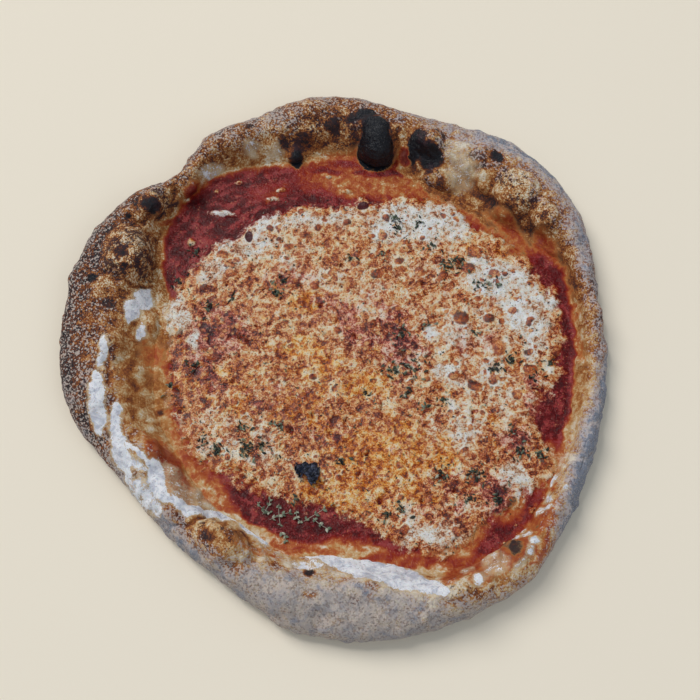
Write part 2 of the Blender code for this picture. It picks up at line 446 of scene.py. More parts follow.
def baked(look, browning, fine, medium, coarse):
    """Colour of baked dough, from cream (0) over golden and brown to black (1)."""
    level = look.add(browning, look.times(fine, 1.05), look.times(medium, 0.95), look.times(coarse, 0.60))
    colour = look.ramp(
        level,
        (0.00, srgb(222, 212, 194)),
        (0.14, srgb(204, 172, 126)),
        (0.29, srgb(172, 112, 56)),
        (0.44, srgb(136, 74, 34)),
        (0.58, srgb(94, 50, 34)),
        (0.74, srgb(54, 38, 38)),
        (0.92, srgb(19, 21, 31)),
        (1.00, srgb(12, 15, 25)),
    )
    return level, colour


def dough_skin(look, fine, medium, coarse):
    """How brown the dough is at each point, and its colour; browner dough is more speckled; hollows are painted darker
    and ridges lighter as painted shade.
    """
    heat = look.field("browning")
    crisp = look.field("crisp")
    lively = look.times(look.step(heat, 0.0, 0.5, 1.2, 2.0), look.step(heat, 0.55, 1.1, 1.0, 0.10))
    rugged = look.times(look.step(crisp, 0.0, 1.0, 0.55, 1.1), look.step(heat, 0.8, 1.15, 1.0, 0.3))
    return baked(
        look, look.add(heat, look.times(look.field("hollow_shade"), 0.2)), look.times(fine, look.times(lively, crisp)),
        look.times(medium, rugged), coarse,
    )


def dough_look():
    """Baked dough: cream, golden, brown, black with its heat; flour and raw flour on it; thick flour on the flanks
    turned from the light painted darker blue-grey as painted shade.
    """
    look = Look("dough")
    fine = look.grain(1.0, 3, 0.65)
    medium = look.grain(3.0, 4, 0.6, 0.7)
    coarse = look.grain(9, 3, 0.55, 0.8)
    leopard = look.field("leopard")
    spots = look.add(
        look.grain(2.2, 3, 0.66, 1.0), look.times(fine, 0.35), look.times(coarse, 0.8), look.times(leopard, 0.13),
    )
    spots = look.times(look.step(spots, 0.10, 0.17), look.step(leopard, 0.0, 0.3))
    browning, skin = dough_skin(look, fine, medium, coarse)
    skin = look.mix(look.times(spots, 0.86), skin, srgb(54, 34, 42))
    wetness = look.field("wet")
    uneven = look.add(look.times(medium, 0.7), look.times(look.times(fine, look.field("crisp")), 0.75))
    wet = look.add(wetness, look.times(uneven, look.step(wetness, 0.0, 0.2)))
    stained = sauced(look, skin, wet, 0.92)
    grains = look.node("SeparateColor", {"Color": look.cells(0.95, output="Color")}).outputs
    flour = look.field("flour")
    cover = look.add(flour, look.times(coarse, 1.0), look.times(medium, 0.7), look.times(fine, 0.4))
    cool_tint_and_shade = look.add(look.field("cool_tint_and_shade"), look.times(coarse, 1.6), look.times(medium, 0.8))
    # painted shade: where the floured skin is bluish and its flour value passes 1, it darkens to blue-grey
    warm = look.ramp(cover, (0.4, srgb(134, 114, 104)), (0.85, srgb(152, 138, 130)), (1.3, srgb(158, 150, 146)))
    cool_shaded_flour = look.ramp(cover, (0.5, srgb(148, 138, 144)), (1.0, srgb(158, 158, 172)), (1.35, srgb(104, 112, 130)))
    flour_bloom_and_shade = look.mix(look.step(cool_tint_and_shade, 0.0, 1.0), warm, cool_shaded_flour)
    haze = look.mix(look.step(cover, 0.46, 1.02, 0.0, 0.80), stained, flour_bloom_and_shade)
    speck = look.step(look.math("SUBTRACT", cover, grains[0]), 0.10, 0.20)
    speck = look.times(speck, look.step(flour, 0.04, 0.2))
    pale = look.mix(
        look.step(cool_tint_and_shade, 0.0, 1.0), srgb(202, 188, 178),
        look.ramp(cover, (0.3, srgb(194, 172, 164)), (0.9, srgb(194, 188, 192)), (1.35, srgb(136, 144, 160))),
    )
    floured = look.mix(look.times(speck, 0.80), haze, pale)
    grit = look.times(look.step(grains[1], 0.74, 0.86), look.step(cover, 0.35, 0.8))
    floured = look.mix(look.times(grit, 0.42), floured, srgb(98, 84, 82))
    rawness = look.field("raw")
    raw = look.add(rawness, look.times(look.add(look.times(medium, 0.9), fine), look.step(rawness, 0.0, 0.3)))
    edged = look.mix(look.times(look.step(raw, 0.0, 0.36), 0.75), floured, srgb(208, 186, 152))
    rind = look.step(look.math("ABSOLUTE", look.math("SUBTRACT", raw, 0.34)), 0.07, 0.01)
    rind = look.times(rind, look.step(coarse, -0.06, 0.10, 0.0, 0.6))
    edged = look.mix(rind, edged, srgb(140, 92, 58))
    chalk = look.mix(look.step(look.add(coarse, medium), -0.26, 0.12), srgb(190, 194, 208), srgb(238, 240, 246))
    chalk = look.mix(look.times(look.step(look.grain(1.2, 2), 0.12, 0.18), 0.5), chalk, srgb(120, 112, 118))
    colour = look.mix(look.step(raw, 0.38, 0.54), edged, chalk)
    burnt = look.step(browning, 0.8, 1.0)
    height = look.add(
        look.times(fine, 0.9), look.times(look.times(grains[0], speck), 0.25),
        look.times(medium, look.step(burnt, 0.0, 1.0, 1.2, 3.4)),
    )
    glossy = look.math("MAXIMUM", look.step(wet, 0.3, 0.6), burnt)
    roughness = look.step(glossy, 0.0, 1.0, 0.85, 0.32)
    return look.finish(
        colour, roughness, height, 0.5, Subsurface_Weight=0.05, Subsurface_Scale=0.0015, Specular_IOR_Level=0.35,
    )


def sauce_colour(look, fine, medium, coarse, covered=None):
    """Colour of the sauce by its wetness and its streaks, with a painted mauve sheen in its light strokes; thinner
    where it is covered.
    """
    skin = dough_skin(look, fine, medium, coarse)[1]
    streak = look.field("streak")
    wet = look.add(
        look.field("wet"), look.times(medium, 0.7), look.times(look.times(fine, look.field("crisp")), 0.75),
        look.times(coarse, 0.50),
        look.times(streak, 0.07),
    )
    if covered is not None:
        wet = look.times(wet, covered)
    colour = sauced(look, skin, wet)
    strokes_and_sheen = look.add(coarse, look.times(streak, 0.16), look.times(fine, 0.75), look.times(medium, 0.25))
    deep = look.step(wet, 0.58, 0.82)
    # light mauve-red strokes: partly the sauce's own streaks, partly painted sheen
    colour = look.mix(look.times(look.times(look.step(strokes_and_sheen, 0.02, 0.15), deep), 0.72), colour, srgb(164, 62, 62))
    return look.mix(look.times(look.times(look.step(strokes_and_sheen, -0.04, -0.15), deep), 0.72), colour, srgb(50, 4, 10))


def sauce_look():
    """Cooked tomato sauce: dark red, streaked, wet; thin and orange where the dough shows through."""
    look = Look("sauce")
    fine = look.grain(1.0, 3, 0.65)
    medium = look.grain(3.0, 4, 0.6, 0.7)
    coarse = look.grain(9, 3, 0.55, 0.8)
    colour = sauce_colour(look, fine, medium, coarse)
    # light tan specks: partly tomato seeds and pulp, partly painted glints
    seed = look.step(look.add(look.grain(1.2, 1), look.times(coarse, 0.5)), 0.20, 0.25)
    colour = look.mix(look.times(seed, 0.5), colour, srgb(206, 132, 96))
    height = look.add(
        look.times(medium, 1.2), look.times(fine, 0.8), look.times(coarse, 1.2), look.times(look.field("streak"), 0.25),
    )
    dry = look.step(look.field("wet"), 0.45, 0.10, 0.0, 0.45)
    return look.finish(
        colour, look.add(look.step(medium, -0.2, 0.2, 0.16, 0.34), dry), height, 0.42,
        Subsurface_Weight=0.05, Subsurface_Scale=0.0015, Specular_IOR_Level=0.18,
    )


def cheese_look():
    """Melted mozzarella: cream threads round toasted, oily, sauce-stained hollows; amber bubbles, painted darker on one
    side and towards the edge and lighter on the other side as painted shade and highlight.
    """
    look = Look("cheese")
    fine = look.grain(0.8, 2, 0.6)
    mottle = look.grain(3.3, 5, 0.66, 0.9)
    patch = look.grain(7.5, 3, 0.6, 0.8)
    drift = look.grain(5.2, 4, 0.62, 1.2)
    white = look.field("white")
    level = look.add(
        look.times(look.field("ridge"), 0.30), look.times(mottle, 1.55), look.times(fine, 1.10),
        look.times(patch, 1.35), look.times(white, 0.12), look.times(look.field("toast"), -0.19), 0.485,
    )
    plain = look.ramp(
        level,
        (0.10, srgb(74, 24, 16)),
        (0.24, srgb(126, 48, 22)),
        (0.36, srgb(174, 84, 38)),
        (0.47, srgb(204, 128, 68)),
        (0.58, srgb(214, 160, 100)),
        (0.70, srgb(224, 196, 148)),
        (0.88, srgb(232, 220, 194)),
    )
    reddish = look.ramp(
        level,
        (0.10, srgb(58, 14, 20)),
        (0.26, srgb(104, 28, 28)),
        (0.40, srgb(154, 60, 44)),
        (0.53, srgb(196, 104, 78)),
        (0.68, srgb(218, 162, 134)),
        (0.88, srgb(230, 208, 192)),
    )
    golden = look.ramp(
        level,
        (0.10, srgb(112, 40, 10)),
        (0.26, srgb(176, 80, 12)),
        (0.40, srgb(210, 122, 26)),
        (0.54, srgb(220, 160, 66)),
        (0.70, srgb(228, 192, 124)),
        (0.88, srgb(234, 218, 184)),
    )
    milky = look.ramp(
        level,
        (0.08, srgb(96, 50, 32)),
        (0.28, srgb(166, 112, 76)),
        (0.43, srgb(196, 166, 136)),
        (0.57, srgb(214, 205, 193)),
        (0.74, srgb(222, 222, 218)),
        (0.98, srgb(234, 238, 242)),
    )
    body = look.mix(look.step(look.add(look.field("oil"), look.times(drift, 3.2)), 0.22, 0.78), plain, golden)
    body = look.mix(look.step(look.add(look.field("bleed"), look.times(drift, -2.6)), 0.26, 0.82), body, reddish)
    cover = look.add(white, look.times(drift, 1.2), look.times(mottle, 1.5))
    body = look.mix(look.step(cover, 0.12, 0.86), body, milky)
    thread = look.times(
        look.step(look.math("ABSOLUTE", look.grain(1.9, 3, 0.6, 0.7)), 0.034, 0.006), look.step(level, 0.36, 0.60),
    )
    body = look.mix(look.times(thread, look.step(patch, -0.08, 0.04, 0.1, 0.55)), body, srgb(234, 224, 210))
    bubble = look.add(look.field("amber"), look.times(fine, 1.2), look.times(mottle, 1.9))
    # painted shade and highlight on the bubbles: darker on one side and at the edge, pale cream on the other side
    bubble_shading = look.add(look.field("bubble_shading"), look.times(fine, 1.6), look.times(mottle, 1.7))
    amber = look.ramp(
        bubble_shading,
        (0.05, srgb(222, 180, 130)),
        (0.25, srgb(206, 128, 66)),
        (0.45, srgb(174, 82, 40)),
        (0.66, srgb(128, 46, 26)),
        (0.92, srgb(64, 20, 18)),
    )
    body = look.mix(look.step(bubble, 0.15, 0.75, 0.0, 0.92), body, amber)
    edge = look.add(
        look.field("film"), look.times(look.field("ridge"), 0.30), look.times(mottle, 1.1), look.times(fine, 0.6),
    )
    below = sauce_colour(
        look, look.grain(1.0, 3, 0.65), look.grain(3.0, 4, 0.6, 0.7), look.grain(9, 3, 0.55, 0.8),
        look.step(edge, -0.05, 0.5, 1.0, 0.45),
    )
    body = look.mix(look.step(edge, 0.16, 0.62), below, body)
    body = look.mix(look.step(look.field("drop"), 0.15, 0.45), body, srgb(70, 16, 24))
    pits = look.times(look.step(look.add(look.grain(1.2, 1), look.times(look.field("pit"), 0.25)), 0.17, 0.23), 0.80)
    body = look.mix(pits, body, srgb(64, 28, 20))
    height = look.add(look.times(mottle, 0.9), look.times(fine, 0.8), look.times(thread, 0.12))
    roughness = look.step(level, 0.3, 0.8, 0.18, 0.36)
    return look.finish(
        body, roughness, height, 0.40, Subsurface_Weight=0.10, Subsurface_Scale=0.0015, Specular_IOR_Level=0.30,
    )


def herb_look():
    """Dried oregano and thyme: grey-green, olive and nearly black flakes."""
    look = Look("herbs")
    shade = look.add(look.times(look.grain(1.5, 2), 0.5), look.field("shade"))
    colour = look.ramp(
        shade,
        (0.00, srgb(18, 20, 18)),
        (0.35, srgb(44, 52, 38)),
        (0.60, srgb(78, 92, 74)),
        (0.80, srgb(122, 134, 112)),
        (1.00, srgb(184, 184, 166)),
    )
    return look.finish(colour, 0.6, look.grain(0.5, 2), 0.1)


def leaf_look():
    """Burnt basil: black, with blue-grey painted highlights and sheen where its wrinkles rise."""
    look = Look("charred_leaf")
    wrinkle = look.grain(1.6, 4, 0.65, 0.8)
    # painted highlight: the raised parts of the wrinkles are coloured blue-grey
    colour = look.ramp(
        look.math("ADD", wrinkle, 0.5),
        (0.30, srgb(9, 9, 14)),
        (0.47, srgb(22, 25, 40)),
        (0.57, srgb(56, 64, 90)),
        (0.68, srgb(120, 130, 158)),
    )
    return look.finish(colour, look.step(wrinkle, -0.2, 0.2, 0.22, 0.45), wrinkle, 0.8)


def flour_look():
    """Loose grains of flour and semolina."""
    look = Look("flour_grains")
    colour = look.mix(look.math("ADD", look.grain(0.8, 1), 0.5), srgb(170, 158, 150), srgb(226, 220, 218))
    return look.finish(colour, 0.9, look.grain(0.2, 1), 0.05)


# --------------------------------------------------------------------------------------------- crust

SECTORS = 1152
CRUST_WAYS = np.concatenate([
    np.linspace(0, 1, 28)[:-1], np.linspace(1, 2, 32)[:-1], np.linspace(2, 3, 16),
])

# How brown the rim is, 0 cream to 1 black, at four places over it.
HEAT_WAYS = (0.10, 0.95, 1.55, 2.3)
HEAT = (
    {0: .24, 24: .38, 40: .50, 60: .42, 80: .30, 96: .22, 122: .26, 150: .28, 160: .20, 176: .34, 200: .24,
     230: .18, 260: .14, 290: .16, 315: .32, 340: .20},
    {0: .20, 20: .34, 34: .32, 44: .24, 52: .22, 57: .03, 64: .12, 72: .36, 90: .44, 105: .34, 120: .38, 135: .34,
     150: .33, 172: .32, 195: .28, 215: .22, 240: .28, 262: .14, 285: .10, 305: .20, 320: .27,
     342: .16},
    {0: .42, 18: .62, 34: .36, 55: .30, 75: .46, 100: .54, 125: .58, 150: .68, 180: .72, 200: .64,
     225: .48, 245: .30, 265: .24, 290: .20, 312: .26, 325: .20, 345: .20},
    {0: .30, 40: .34, 75: .48, 110: .58, 150: .68, 190: .72, 225: .58, 250: .42, 290: .32, 325: .30},
)
# How floured the rim is, at four places over it; values above 1 paint the floured flank darker blue-grey where it faces
# away from the light: painted shade.
FLOUR_WAYS = (0.5, 1.05, 1.6, 2.4)
FLOUR = (
    {0: 0, 50: 0, 60: .30, 70: 0, 180: 0, 240: 0, 254: .30, 268: .40, 280: .20, 296: 0, 326: 0, 336: .25, 348: .15},
    {0: .45, 14: .50, 27: .90, 38: .30, 50: .34, 60: .62, 76: .20, 92: .34, 108: .60, 125: .35, 150: .12,
     175: .35, 215: .35, 240: .20, 254: .95, 272: 1.0, 290: .72, 303: .20, 314: .12, 322: .35, 330: .85, 345: .95},
    {0: 1.05, 10: .70, 20: .60, 30: .86, 40: .98, 60: .92, 80: .66, 100: .74, 130: .50, 160: .46, 190: .46,
     215: .78, 240: 1.0, 262: 1.05, 290: 1.05, 302: .85, 312: .42, 320: .50, 328: 1.15, 342: 1.35},
    {0: 1.25, 14: .74, 45: .92, 90: .74, 150: .50, 190: .50, 230: .92, 270: 1.1, 300: 1.1, 315: 1.0, 330: 1.25, 345: 1.35},
)
# How strongly the skin is speckled, at three places over the rim.
CRISP_WAYS = (0.25, 0.9, 1.35)
CRISP = (
    {0: .25, 30: .45, 60: .50, 100: .45, 130: .45, 150: .70, 170: .30, 200: .18, 240: .22, 300: .25},
    {0: .40, 40: 1.0, 58: .45, 75: .80, 100: 1.0, 130: .80, 150: 1.1, 175: .50, 200: .32, 240: .35, 270: .30,
     310: .40, 340: .35},
    {0: .80, 40: .60, 75: .75, 100: .85, 150: .85, 190: .85, 225: .80, 250: .55, 285: .50, 315: .55, 340: .60},
)
# How bluish the floured skin is painted, by angle: partly the flour's own cool tint, partly painted cool shade on the
# flanks turned from the light.
COOL_TINT_AND_SHADE = {
    0: .95, 15: .55, 30: .90, 50: .90, 64: .70, 80: .40, 100: .20, 150: .15, 200: .35, 232: .48, 258: .34, 285: .36,
    308: .45, 322: 1.0, 340: 1.0,
}

# Burnt places, and a painted shadow under the upper-right bubble, in plan: x, y, half size along the rim, half size
# across it, how dark.
CHARS = (
    (27, 142, 11.5, 10.8, 1.3), (27, 153, 8.5, 7, 1.15), (21, 161, 8, 5, .98), (12, 160, 6, 4, .86),
    (0.8, 156, 6, 5.5, .84), (-16.5, 150, 8, 4, .78), (-21.5, 138.5, 4.5, 5.5, 1.0), (-28.5, 147, 5, 4, .62),
    (-50, 154, 4, 2.5, .72), (52, 143, 5.5, 8.5, 1.15), (60.5, 136, 8, 5.5, 1.05), (66, 148, 6, 5, .62),
    (100, 133, 5, 4.5, .95), (92, 131, 14, 7, .50), (107, 101, 5, 4, .55), (127, 93, 3, 4, .64),
    # (96, 101) is the dark band under the upper-right bubble: painted shadow
    (96, 101, 12, 3.5, .50), (67, 122, 3.5, 3, .72), (61, 129, 3.5, 2.5, .58),
    (-127, 73, 7, 5, .60), (-121, 67, 4.5, 3.5, .88), (-130, 66, 4, 4, .62), (-107, 68, 3, 4.5, .62),
    (-119, 58, 5, 2.5, .70), (-138, 53, 4, 4, .92), (-127.5, 37, 6, 5.5, .70), (-113, 61, 4, 3, .50),
    (-122, 82, 4, 4, .56), (-107, 99.5, 5, 6, .98), (-120, 94.4, 2.5, 2.2, .85), (-119, 88, 3, 2, .62),
    (-108, 12, 12, 6, .48), (-113, 3, 6, 3.5, .56), (-96.6, -23.3, 2.6, 2.6, .66), (-92.4, 26.8, 2.4, 2.8, .55),
    (-94, 36, 2.2, 2, .48), (-138, -19, 5, 2.2, .52), (-122.5, -27, 5, 1.8, .52), (-106, -63, 6.5, 2.8, .58),
    (-64, -98, 5, 4.5, .70), (-52, -99, 7, 6, .54), (-57, -92, 6, 4, .46), (-10.5, -115.5, 3, 2.6, .88),
    (-10, -128, 6, 3, .55), (23, -123, 4, 3, .54), (15, -133, 4, 2.5, .56), (-29, -111, 5, 3, .48),
    (58, -126, 4, 3, .50), (100.5, -104, 5, 5.4, .84), (113, -90.5, 3, 2.3, .72), (71, -117, 3, 2, .70),
    (86, -125, 3, 2, .55), (80, -128.5, 4, 3, .50),
)
# Leopard-spotted places: x, y, half size along, half size across, how dense.
LEOPARDS = (
    (-119, 68, 17, 16, 1.0), (-99, 105, 9, 8, .9), (-92, 122, 9, 9, .5), (109, 116, 12, 8, .9),
    (114, 106, 10, 9, .6), (128, 93, 8, 8, .6), (-60, -97, 13, 9, .35), (-10, 152, 32, 10, .5),
    (62, 146, 10, 8, .9), (92, 131, 14, 8, .5), (64, 126, 12, 7, .4), (102, -103, 10, 10, .5),
    (-130, 0, 40, 10, .35), (70, -122, 25, 8, .3), (-106, -62, 9, 6, .4),
)
# Patches of raw white flour: x, y, half size along, half size across, strength.
RAW_PATCHES = (
    (-129, 8, 9, 2.2, .75), (-109.5, 24, 4, 2.2, .85), (80, 127, 8, 9, .30), (-48, 142.6, 5, 3, .36),
    (-33.6, 142.7, 4, 3, .34), (-74, 129, 7, 2.5, .40), (-66, 126, 6, 2, .40), (-70, 113, 3, 3, .9),
    (-12, -111, 9, 2.6, .50), (107.5, -95, 2.6, 1.8, .64), (111, -99.5, 2.8, 1.9, .74),
    (108.5, -105.5, 2.8, 1.9, .64), (121.2, -73.5, 3.4, 1.4, .56), (126.2, -63, 3.4, 1.4, .52),
    (79.4, -121, 2.6, 2.1, .54), (90, -113, 9, 3, .36), (117.5, -82, 3.6, 1.4, .54), (129, -71, 2.6, 1.3, .46),
    (102, -96.5, 2.6, 1.7, .52), (101.5, -112, 5, 1.8, .44), (106, -90, 3, 1.6, .42), (74, -115, 4, 2, .40),
    (96, -99.5, 7, 3.5, .34), (88, -107, 6, 3, .34),
)
# Streaks of raw flour: points of the line in plan, half width, strength.
RAW_STREAKS = (
    (((-114, -45), (-106, -49), (-98, -58)), 1.7, 1.0),
    (((-97, -56), (-94.5, -68), (-89, -77), (-82, -80)), 4.8, 1.1),
    (((-91, -76), (-78, -81), (-66, -84)), 3.0, 1.1),
    (((-72, -83), (-60, -83.5), (-50, -84)), 2.6, 1.15),
    (((-57, -83), (-49, -85), (-42, -91), (-34, -99)), 3.2, 1.2),
    (((-119, -22), (-118, -40), (-116.5, -54)), 3.6, .95),
    (((-117.5, -40), (-115, -52), (-110, -60)), 4.6, .95),
    (((-116, -56), (-106, -57), (-100, -60)), 3.2, .62),
    (((-112, -60), (-104, -71), (-92, -84)), 5.4, .60),
    (((-91, -56), (-85, -69), (-66, -79)), 6.0, .30),
    (((-131.5, -5), (-130, -20), (-126.5, -38)), 4.6, .90),
    (((-106.5, 51), (-110, 44), (-113.5, 37)), 4.6, 1.1),
    (((-112, 44), (-115, 36), (-116.5, 28)), 3.6, 1.0),
    (((4, -109.5), (33, -117), (62, -126)), 6.6, 1.35),
    (((-12, -104), (4, -107.5), (17, -110.5)), 4.2, 1.3),
)
# Streaks of sauce on the rim: points of the line in plan, half width, strength.
SAUCE_STREAKS = (
    (((122, -67.6), (118, -75), (114, -82)), 2.2, .64),
    (((118, -92), (117.5, -97), (116.5, -103), (113, -109.5), (107, -112)), 2.4, .60),
    (((93, -100), (95, -105), (98, -110)), 2.2, .62),
    (((122, -80), (118, -86), (113, -96)), 2.0, .50),
    (((104, -99), (109, -96), (113, -92)), 1.6, .48),
    (((80, -110), (92, -109), (99, -113)), 2.0, .50),
    (((66, -116), (78, -117), (86, -119)), 1.4, .42),
    (((128, -52), (128, -62), (124, -70)), 1.6, .46),
    (((33, 130), (38, 134), (43, 139)), 2.4, .70),
    (((14, 134), (20, 130), (32, 129)), 2.2, .85),
    (((92, 104), (101, 97), (114, 89)), 3.6, .36),
)
# How far the sauce's wetness climbs the rim, and over what width it fades, by angle.
WET_REACH = {
    0: 1, 20: 2, 45: 0, 62: -2, 78: 2, 90: 2, 100: 0, 118: 2, 140: 1, 156: -4, 166: -4, 176: -1, 190: -2,
    206: 1, 222: 3, 238: 0, 262: -2, 285: -3, 302: 2, 322: 3, 340: 1,
}
WET_FADE = {
    0: 2.5, 25: 5, 55: 4, 80: 2.5, 100: 5, 118: 4.5, 140: 4.5, 160: 4, 176: 5, 190: 4, 205: 8, 228: 8,
    244: 2.5, 262: 5, 280: 8, 310: 8, 335: 4,
}
# Where sauce is thin and orange, inside the foot: x, y, half size along, half size across, strength.
THIN_SAUCE = (
    (-84, -56, 36, 20, 1.0), (-68, -70, 22, 12, 1.0), (-98, 16, 22, 10, .6), (-96, -16, 26, 9, .45),
    (-92, 38, 14, 10, .9), (12, 125, 36, 13, 1.0), (40, 124, 20, 11, .9), (-38, 118, 16, 8, .5),
    (70, 112, 34, 11, 1.0), (104, 88, 26, 13, .9), (74, -98, 20, 8, 1.0), (100, -76, 14, 10, .9),
    (122, -56, 18, 10, .9), (-34, -98, 22, 4, .8), (10, -106, 26, 5, .8), (44, -108, 22, 5, .7),
)
# Places on the rim stained by sauce: x, y, half size along, half size across, strength.
STAINS = (
    (-104, 10, 12, 8, .34), (-88, -60, 28, 9, .56), (-36, -104, 20, 4, .30), (102, -106, 18, 8, .44),
    (84, -116, 16, 5, .40), (117, -86, 14, 6, .40), (130, -50, 16, 5, .26),
    (10, 139, 20, 7, .40), (128, 78, 12, 6, .50), (78, -110, 28, 6, .50), (122, -66, 20, 4, .30),
    (110, 88, 16, 6, .45), (-82, 112, 20, 4, .50), (45, 138, 6, 4, .85), (34, 131, 12, 3, .95),
    (18, 131, 8, 3, .80), (42, -109, 24, 4, .45), (-4, 132, 14, 3, .8), (122, 68, 8, 7, .85),
    (141, 30, 30, 3.5, .35), (-98, 98, 10, 3, .5), (-16, -100, 26, 5, .44), (30, -106.5, 28, 4.5, .54),
)
# Creases between blisters, in plan: points of the line, half width, depth.
CREASES = (
    (((-116, 88), (-104, 96), (-97, 104), (-94, 114)), 1.6, 1.6),
    (((-96, 116), (-88, 120), (-78, 118)), 1.4, 1.4),
    (((-143, 50), (-132, 57), (-118, 59)), 1.4, 1.5),
    (((-128, 54), (-116, 50), (-106, 53)), 1.2, 1.0),
    (((-112, -43), (-104, -50), (-99, -62), (-97, -74), (-92, -82)), 1.0, 1.1),
    (((-84, -92), (-64, -86), (-48, -94), (-38, -103)), 1.3, 1.5),
    (((-128, 12), (-126, 0), (-124, -12)), 1.5, 1.5),
    (((-20, -112), (4, -113), (34, -123), (62, -122)), 1.3, 0.9),
    (((38, 133), (41, 142), (42, 152)), 1.6, 1.8),
    (((84, 120), (96, 108), (112, 92), (126, 84)), 2.0, 1.6),
)
SMALL_BLISTERS = 300
# Round bubbles that stand out from the rim's blisters: x, y, half size along, across, rise.
DOMES = (
    (-120, 72, 18, 15, 2.6), (-104, 104, 12, 9, 1.8), (27, 142, 12, 11, 3.8), (58, 141, 11, 10, 1.6),
    (-21.5, 139, 6, 6, 1.2), (111, 111, 14, 14, 3.0), (64, 127, 14, 9, 2.4), (127, 96, 9, 8, 1.8),
    (-58, -99, 19, 10, 2.2), (101, -103, 11, 9, 1.2), (-84, 122, 8, 6, 1.2), (-116, 54, 8, 6, 1.0),
    (-134, 52, 8, 9, 1.4), (83, 136, 11, 8, 1.4), (-12, 152, 13, 6, 1.2), (20, -122, 12, 5, 1.0),
    (-128, -30, 12, 7, 1.2), (-104, -66, 11, 7, 1.6), (70, -123, 14, 7, 1.2), (128, -62, 16, 6, 1.2),
    (-92, 40, 10, 9, 1.0), (75, 138, 9, 9, 1.2), (25, 153, 10, 9, 3.0),
)


def table_over_rim(ways, curves, angle, way):
    """Read curves given at some places over the rim, with straight lines between the places."""
    values = [ring_curve(curve)(angle) for curve in curves]
    result = np.broadcast_to(values[0], way.shape).copy()
    for k in range(len(ways) - 1):
        share = np.clip((way - ways[k]) / (ways[k + 1] - ways[k]), 0, 1)
        result = result + share * (values[k + 1] - values[k])
    return result


def spot(points, x, y, along, across):
    """1 at a place in plan, 0 at the edge of an ellipse that lies along the rim, below 0 outside."""
    turn = math.atan2(y, x)
    offset_x, offset_y = points[..., 0] - x, points[..., 1] - y
    outward = offset_x * math.cos(turn) + offset_y * math.sin(turn)
    sideways = offset_y * math.cos(turn) - offset_x * math.sin(turn)
    return 1 - np.hypot(sideways / along, outward / across)


def line_distance(points, line):
    """Distance in plan from a line through some places."""
    nearest = np.full(points.shape[:-1], 1e9)
    for start, end in zip(line, line[1:]):
        start, end = np.array(start, float), np.array(end, float)
        run = end - start
        offset = points[..., :2] - start
        share = np.clip(offset @ run / (run @ run), 0, 1)
        nearest = np.minimum(nearest, np.linalg.norm(offset - share[..., None] * run, axis=-1))
    return nearest


def tapered(points, line, half_width):
    """Distance in plan from a line through some places, in half widths; the line thins to its ends."""
    ends = np.array([line[0], line[-1]], float)
    run = ends[1] - ends[0]
    share = np.clip((points[..., :2] - ends[0]) @ run / (run @ run), 0, 1)
    return line_distance(points, line) / (half_width * (0.30 + 0.70 * np.sin(np.pi * share) ** 0.7))


def grid_normals(points):
    """Outward normals of the rim's grid of points, closed along its second index."""
    around = np.roll(points, -1, axis=1) - np.roll(points, 1, axis=1)
    over = np.gradient(points, axis=0)
    normal = np.cross(around, over)
    return -normal / np.linalg.norm(normal, axis=-1, keepdims=True)


def add_small_blisters(points, way, heights, scorch, rng):
    """Raise small round blisters on the rim and brown the tops of some of them."""
    rows, count = way.shape
    for _ in range(SMALL_BLISTERS):
        row = rng.integers(5, rows - 8)
        column = rng.integers(count)
        radius = rng.uniform(2.0, 6.5) * (0.8 + 0.4 * rng.random())
        rise = radius * rng.uniform(0.10, 0.28)
        dark = rng.uniform(-0.15, 0.45)
        reach = int(radius * 1.25) + 2
        rows_near = np.arange(max(0, row - reach), min(rows, row + reach + 1))
        columns_near = np.arange(column - 2 * reach, column + 2 * reach + 1) % count
        near = np.ix_(rows_near, columns_near)
        away = np.linalg.norm(points[near] - points[row, column], axis=-1) / radius
        dome = np.clip(1 - away**2, 0, None) ** 1.4
        heights[near] += rise * dome
        scorch[near] += dark * dome
    return heights, scorch


def wetness(points):
    """How thickly sauce lies at places in plan: 0 dry, 0.4 an orange film, 1 deep red."""
    x, y = points[..., 0], points[..., 1]
    flat = flat_points(x, y)
    angle = np.degrees(np.arctan2(y, x))
    margin = foot_radius(angle) - np.hypot(x, y) + WET_REACH_CURVE(angle)
    margin = margin + 2.2 * noise(flat, 10, 55) + 1.4 * noise(flat, 4, 56)
    fade = WET_FADE_CURVE(angle)
    wet = smoothstep(margin, -fade, fade)
    wander = flat + 3.0 * np.stack([noise(flat, 12, 65), noise(flat, 12, 66), 0 * x], axis=-1)
    for place_x, place_y, along, across, strength in THIN_SAUCE:
        mask = strength * smoothstep(spot(wander, place_x, place_y, along, across), -0.25, 0.5)
        film = 0.36 + 0.14 * noise(flat, 7, 67) + 0.08 * noise(flat, 3, 68)
        wet = wet * (1 - mask) + film * mask * smoothstep(wet, 0.0, 0.4)
    for place_x, place_y, along, across, strength in STAINS:
        mask = strength * smoothstep(spot(wander, place_x, place_y, along, across), -0.3, 0.6)
        wet = np.maximum(wet, mask)
    wander = flat + 1.0 * np.stack([noise(flat, 6, 69), noise(flat, 6, 70), 0 * x], axis=-1)
    for line, half_width, strength in SAUCE_STREAKS:
        mask = strength * smoothstep(tapered(wander, line, half_width), 1.9, 0.0)
        wet = np.maximum(wet, mask * (0.9 + 0.4 * noise(flat, 4, 98)))
    return wet


def loosened(points):
    """Points moved about by noise, so that what is drawn there gets uneven edges."""
    far = np.stack([noise(points, 9, 31), noise(points, 9, 32), 0 * points[..., 0]], axis=-1)
    close = np.stack([noise(points, 3, 33), noise(points, 3, 34), 0 * points[..., 0]], axis=-1)
    return points + 1.6 * far + 0.8 * close


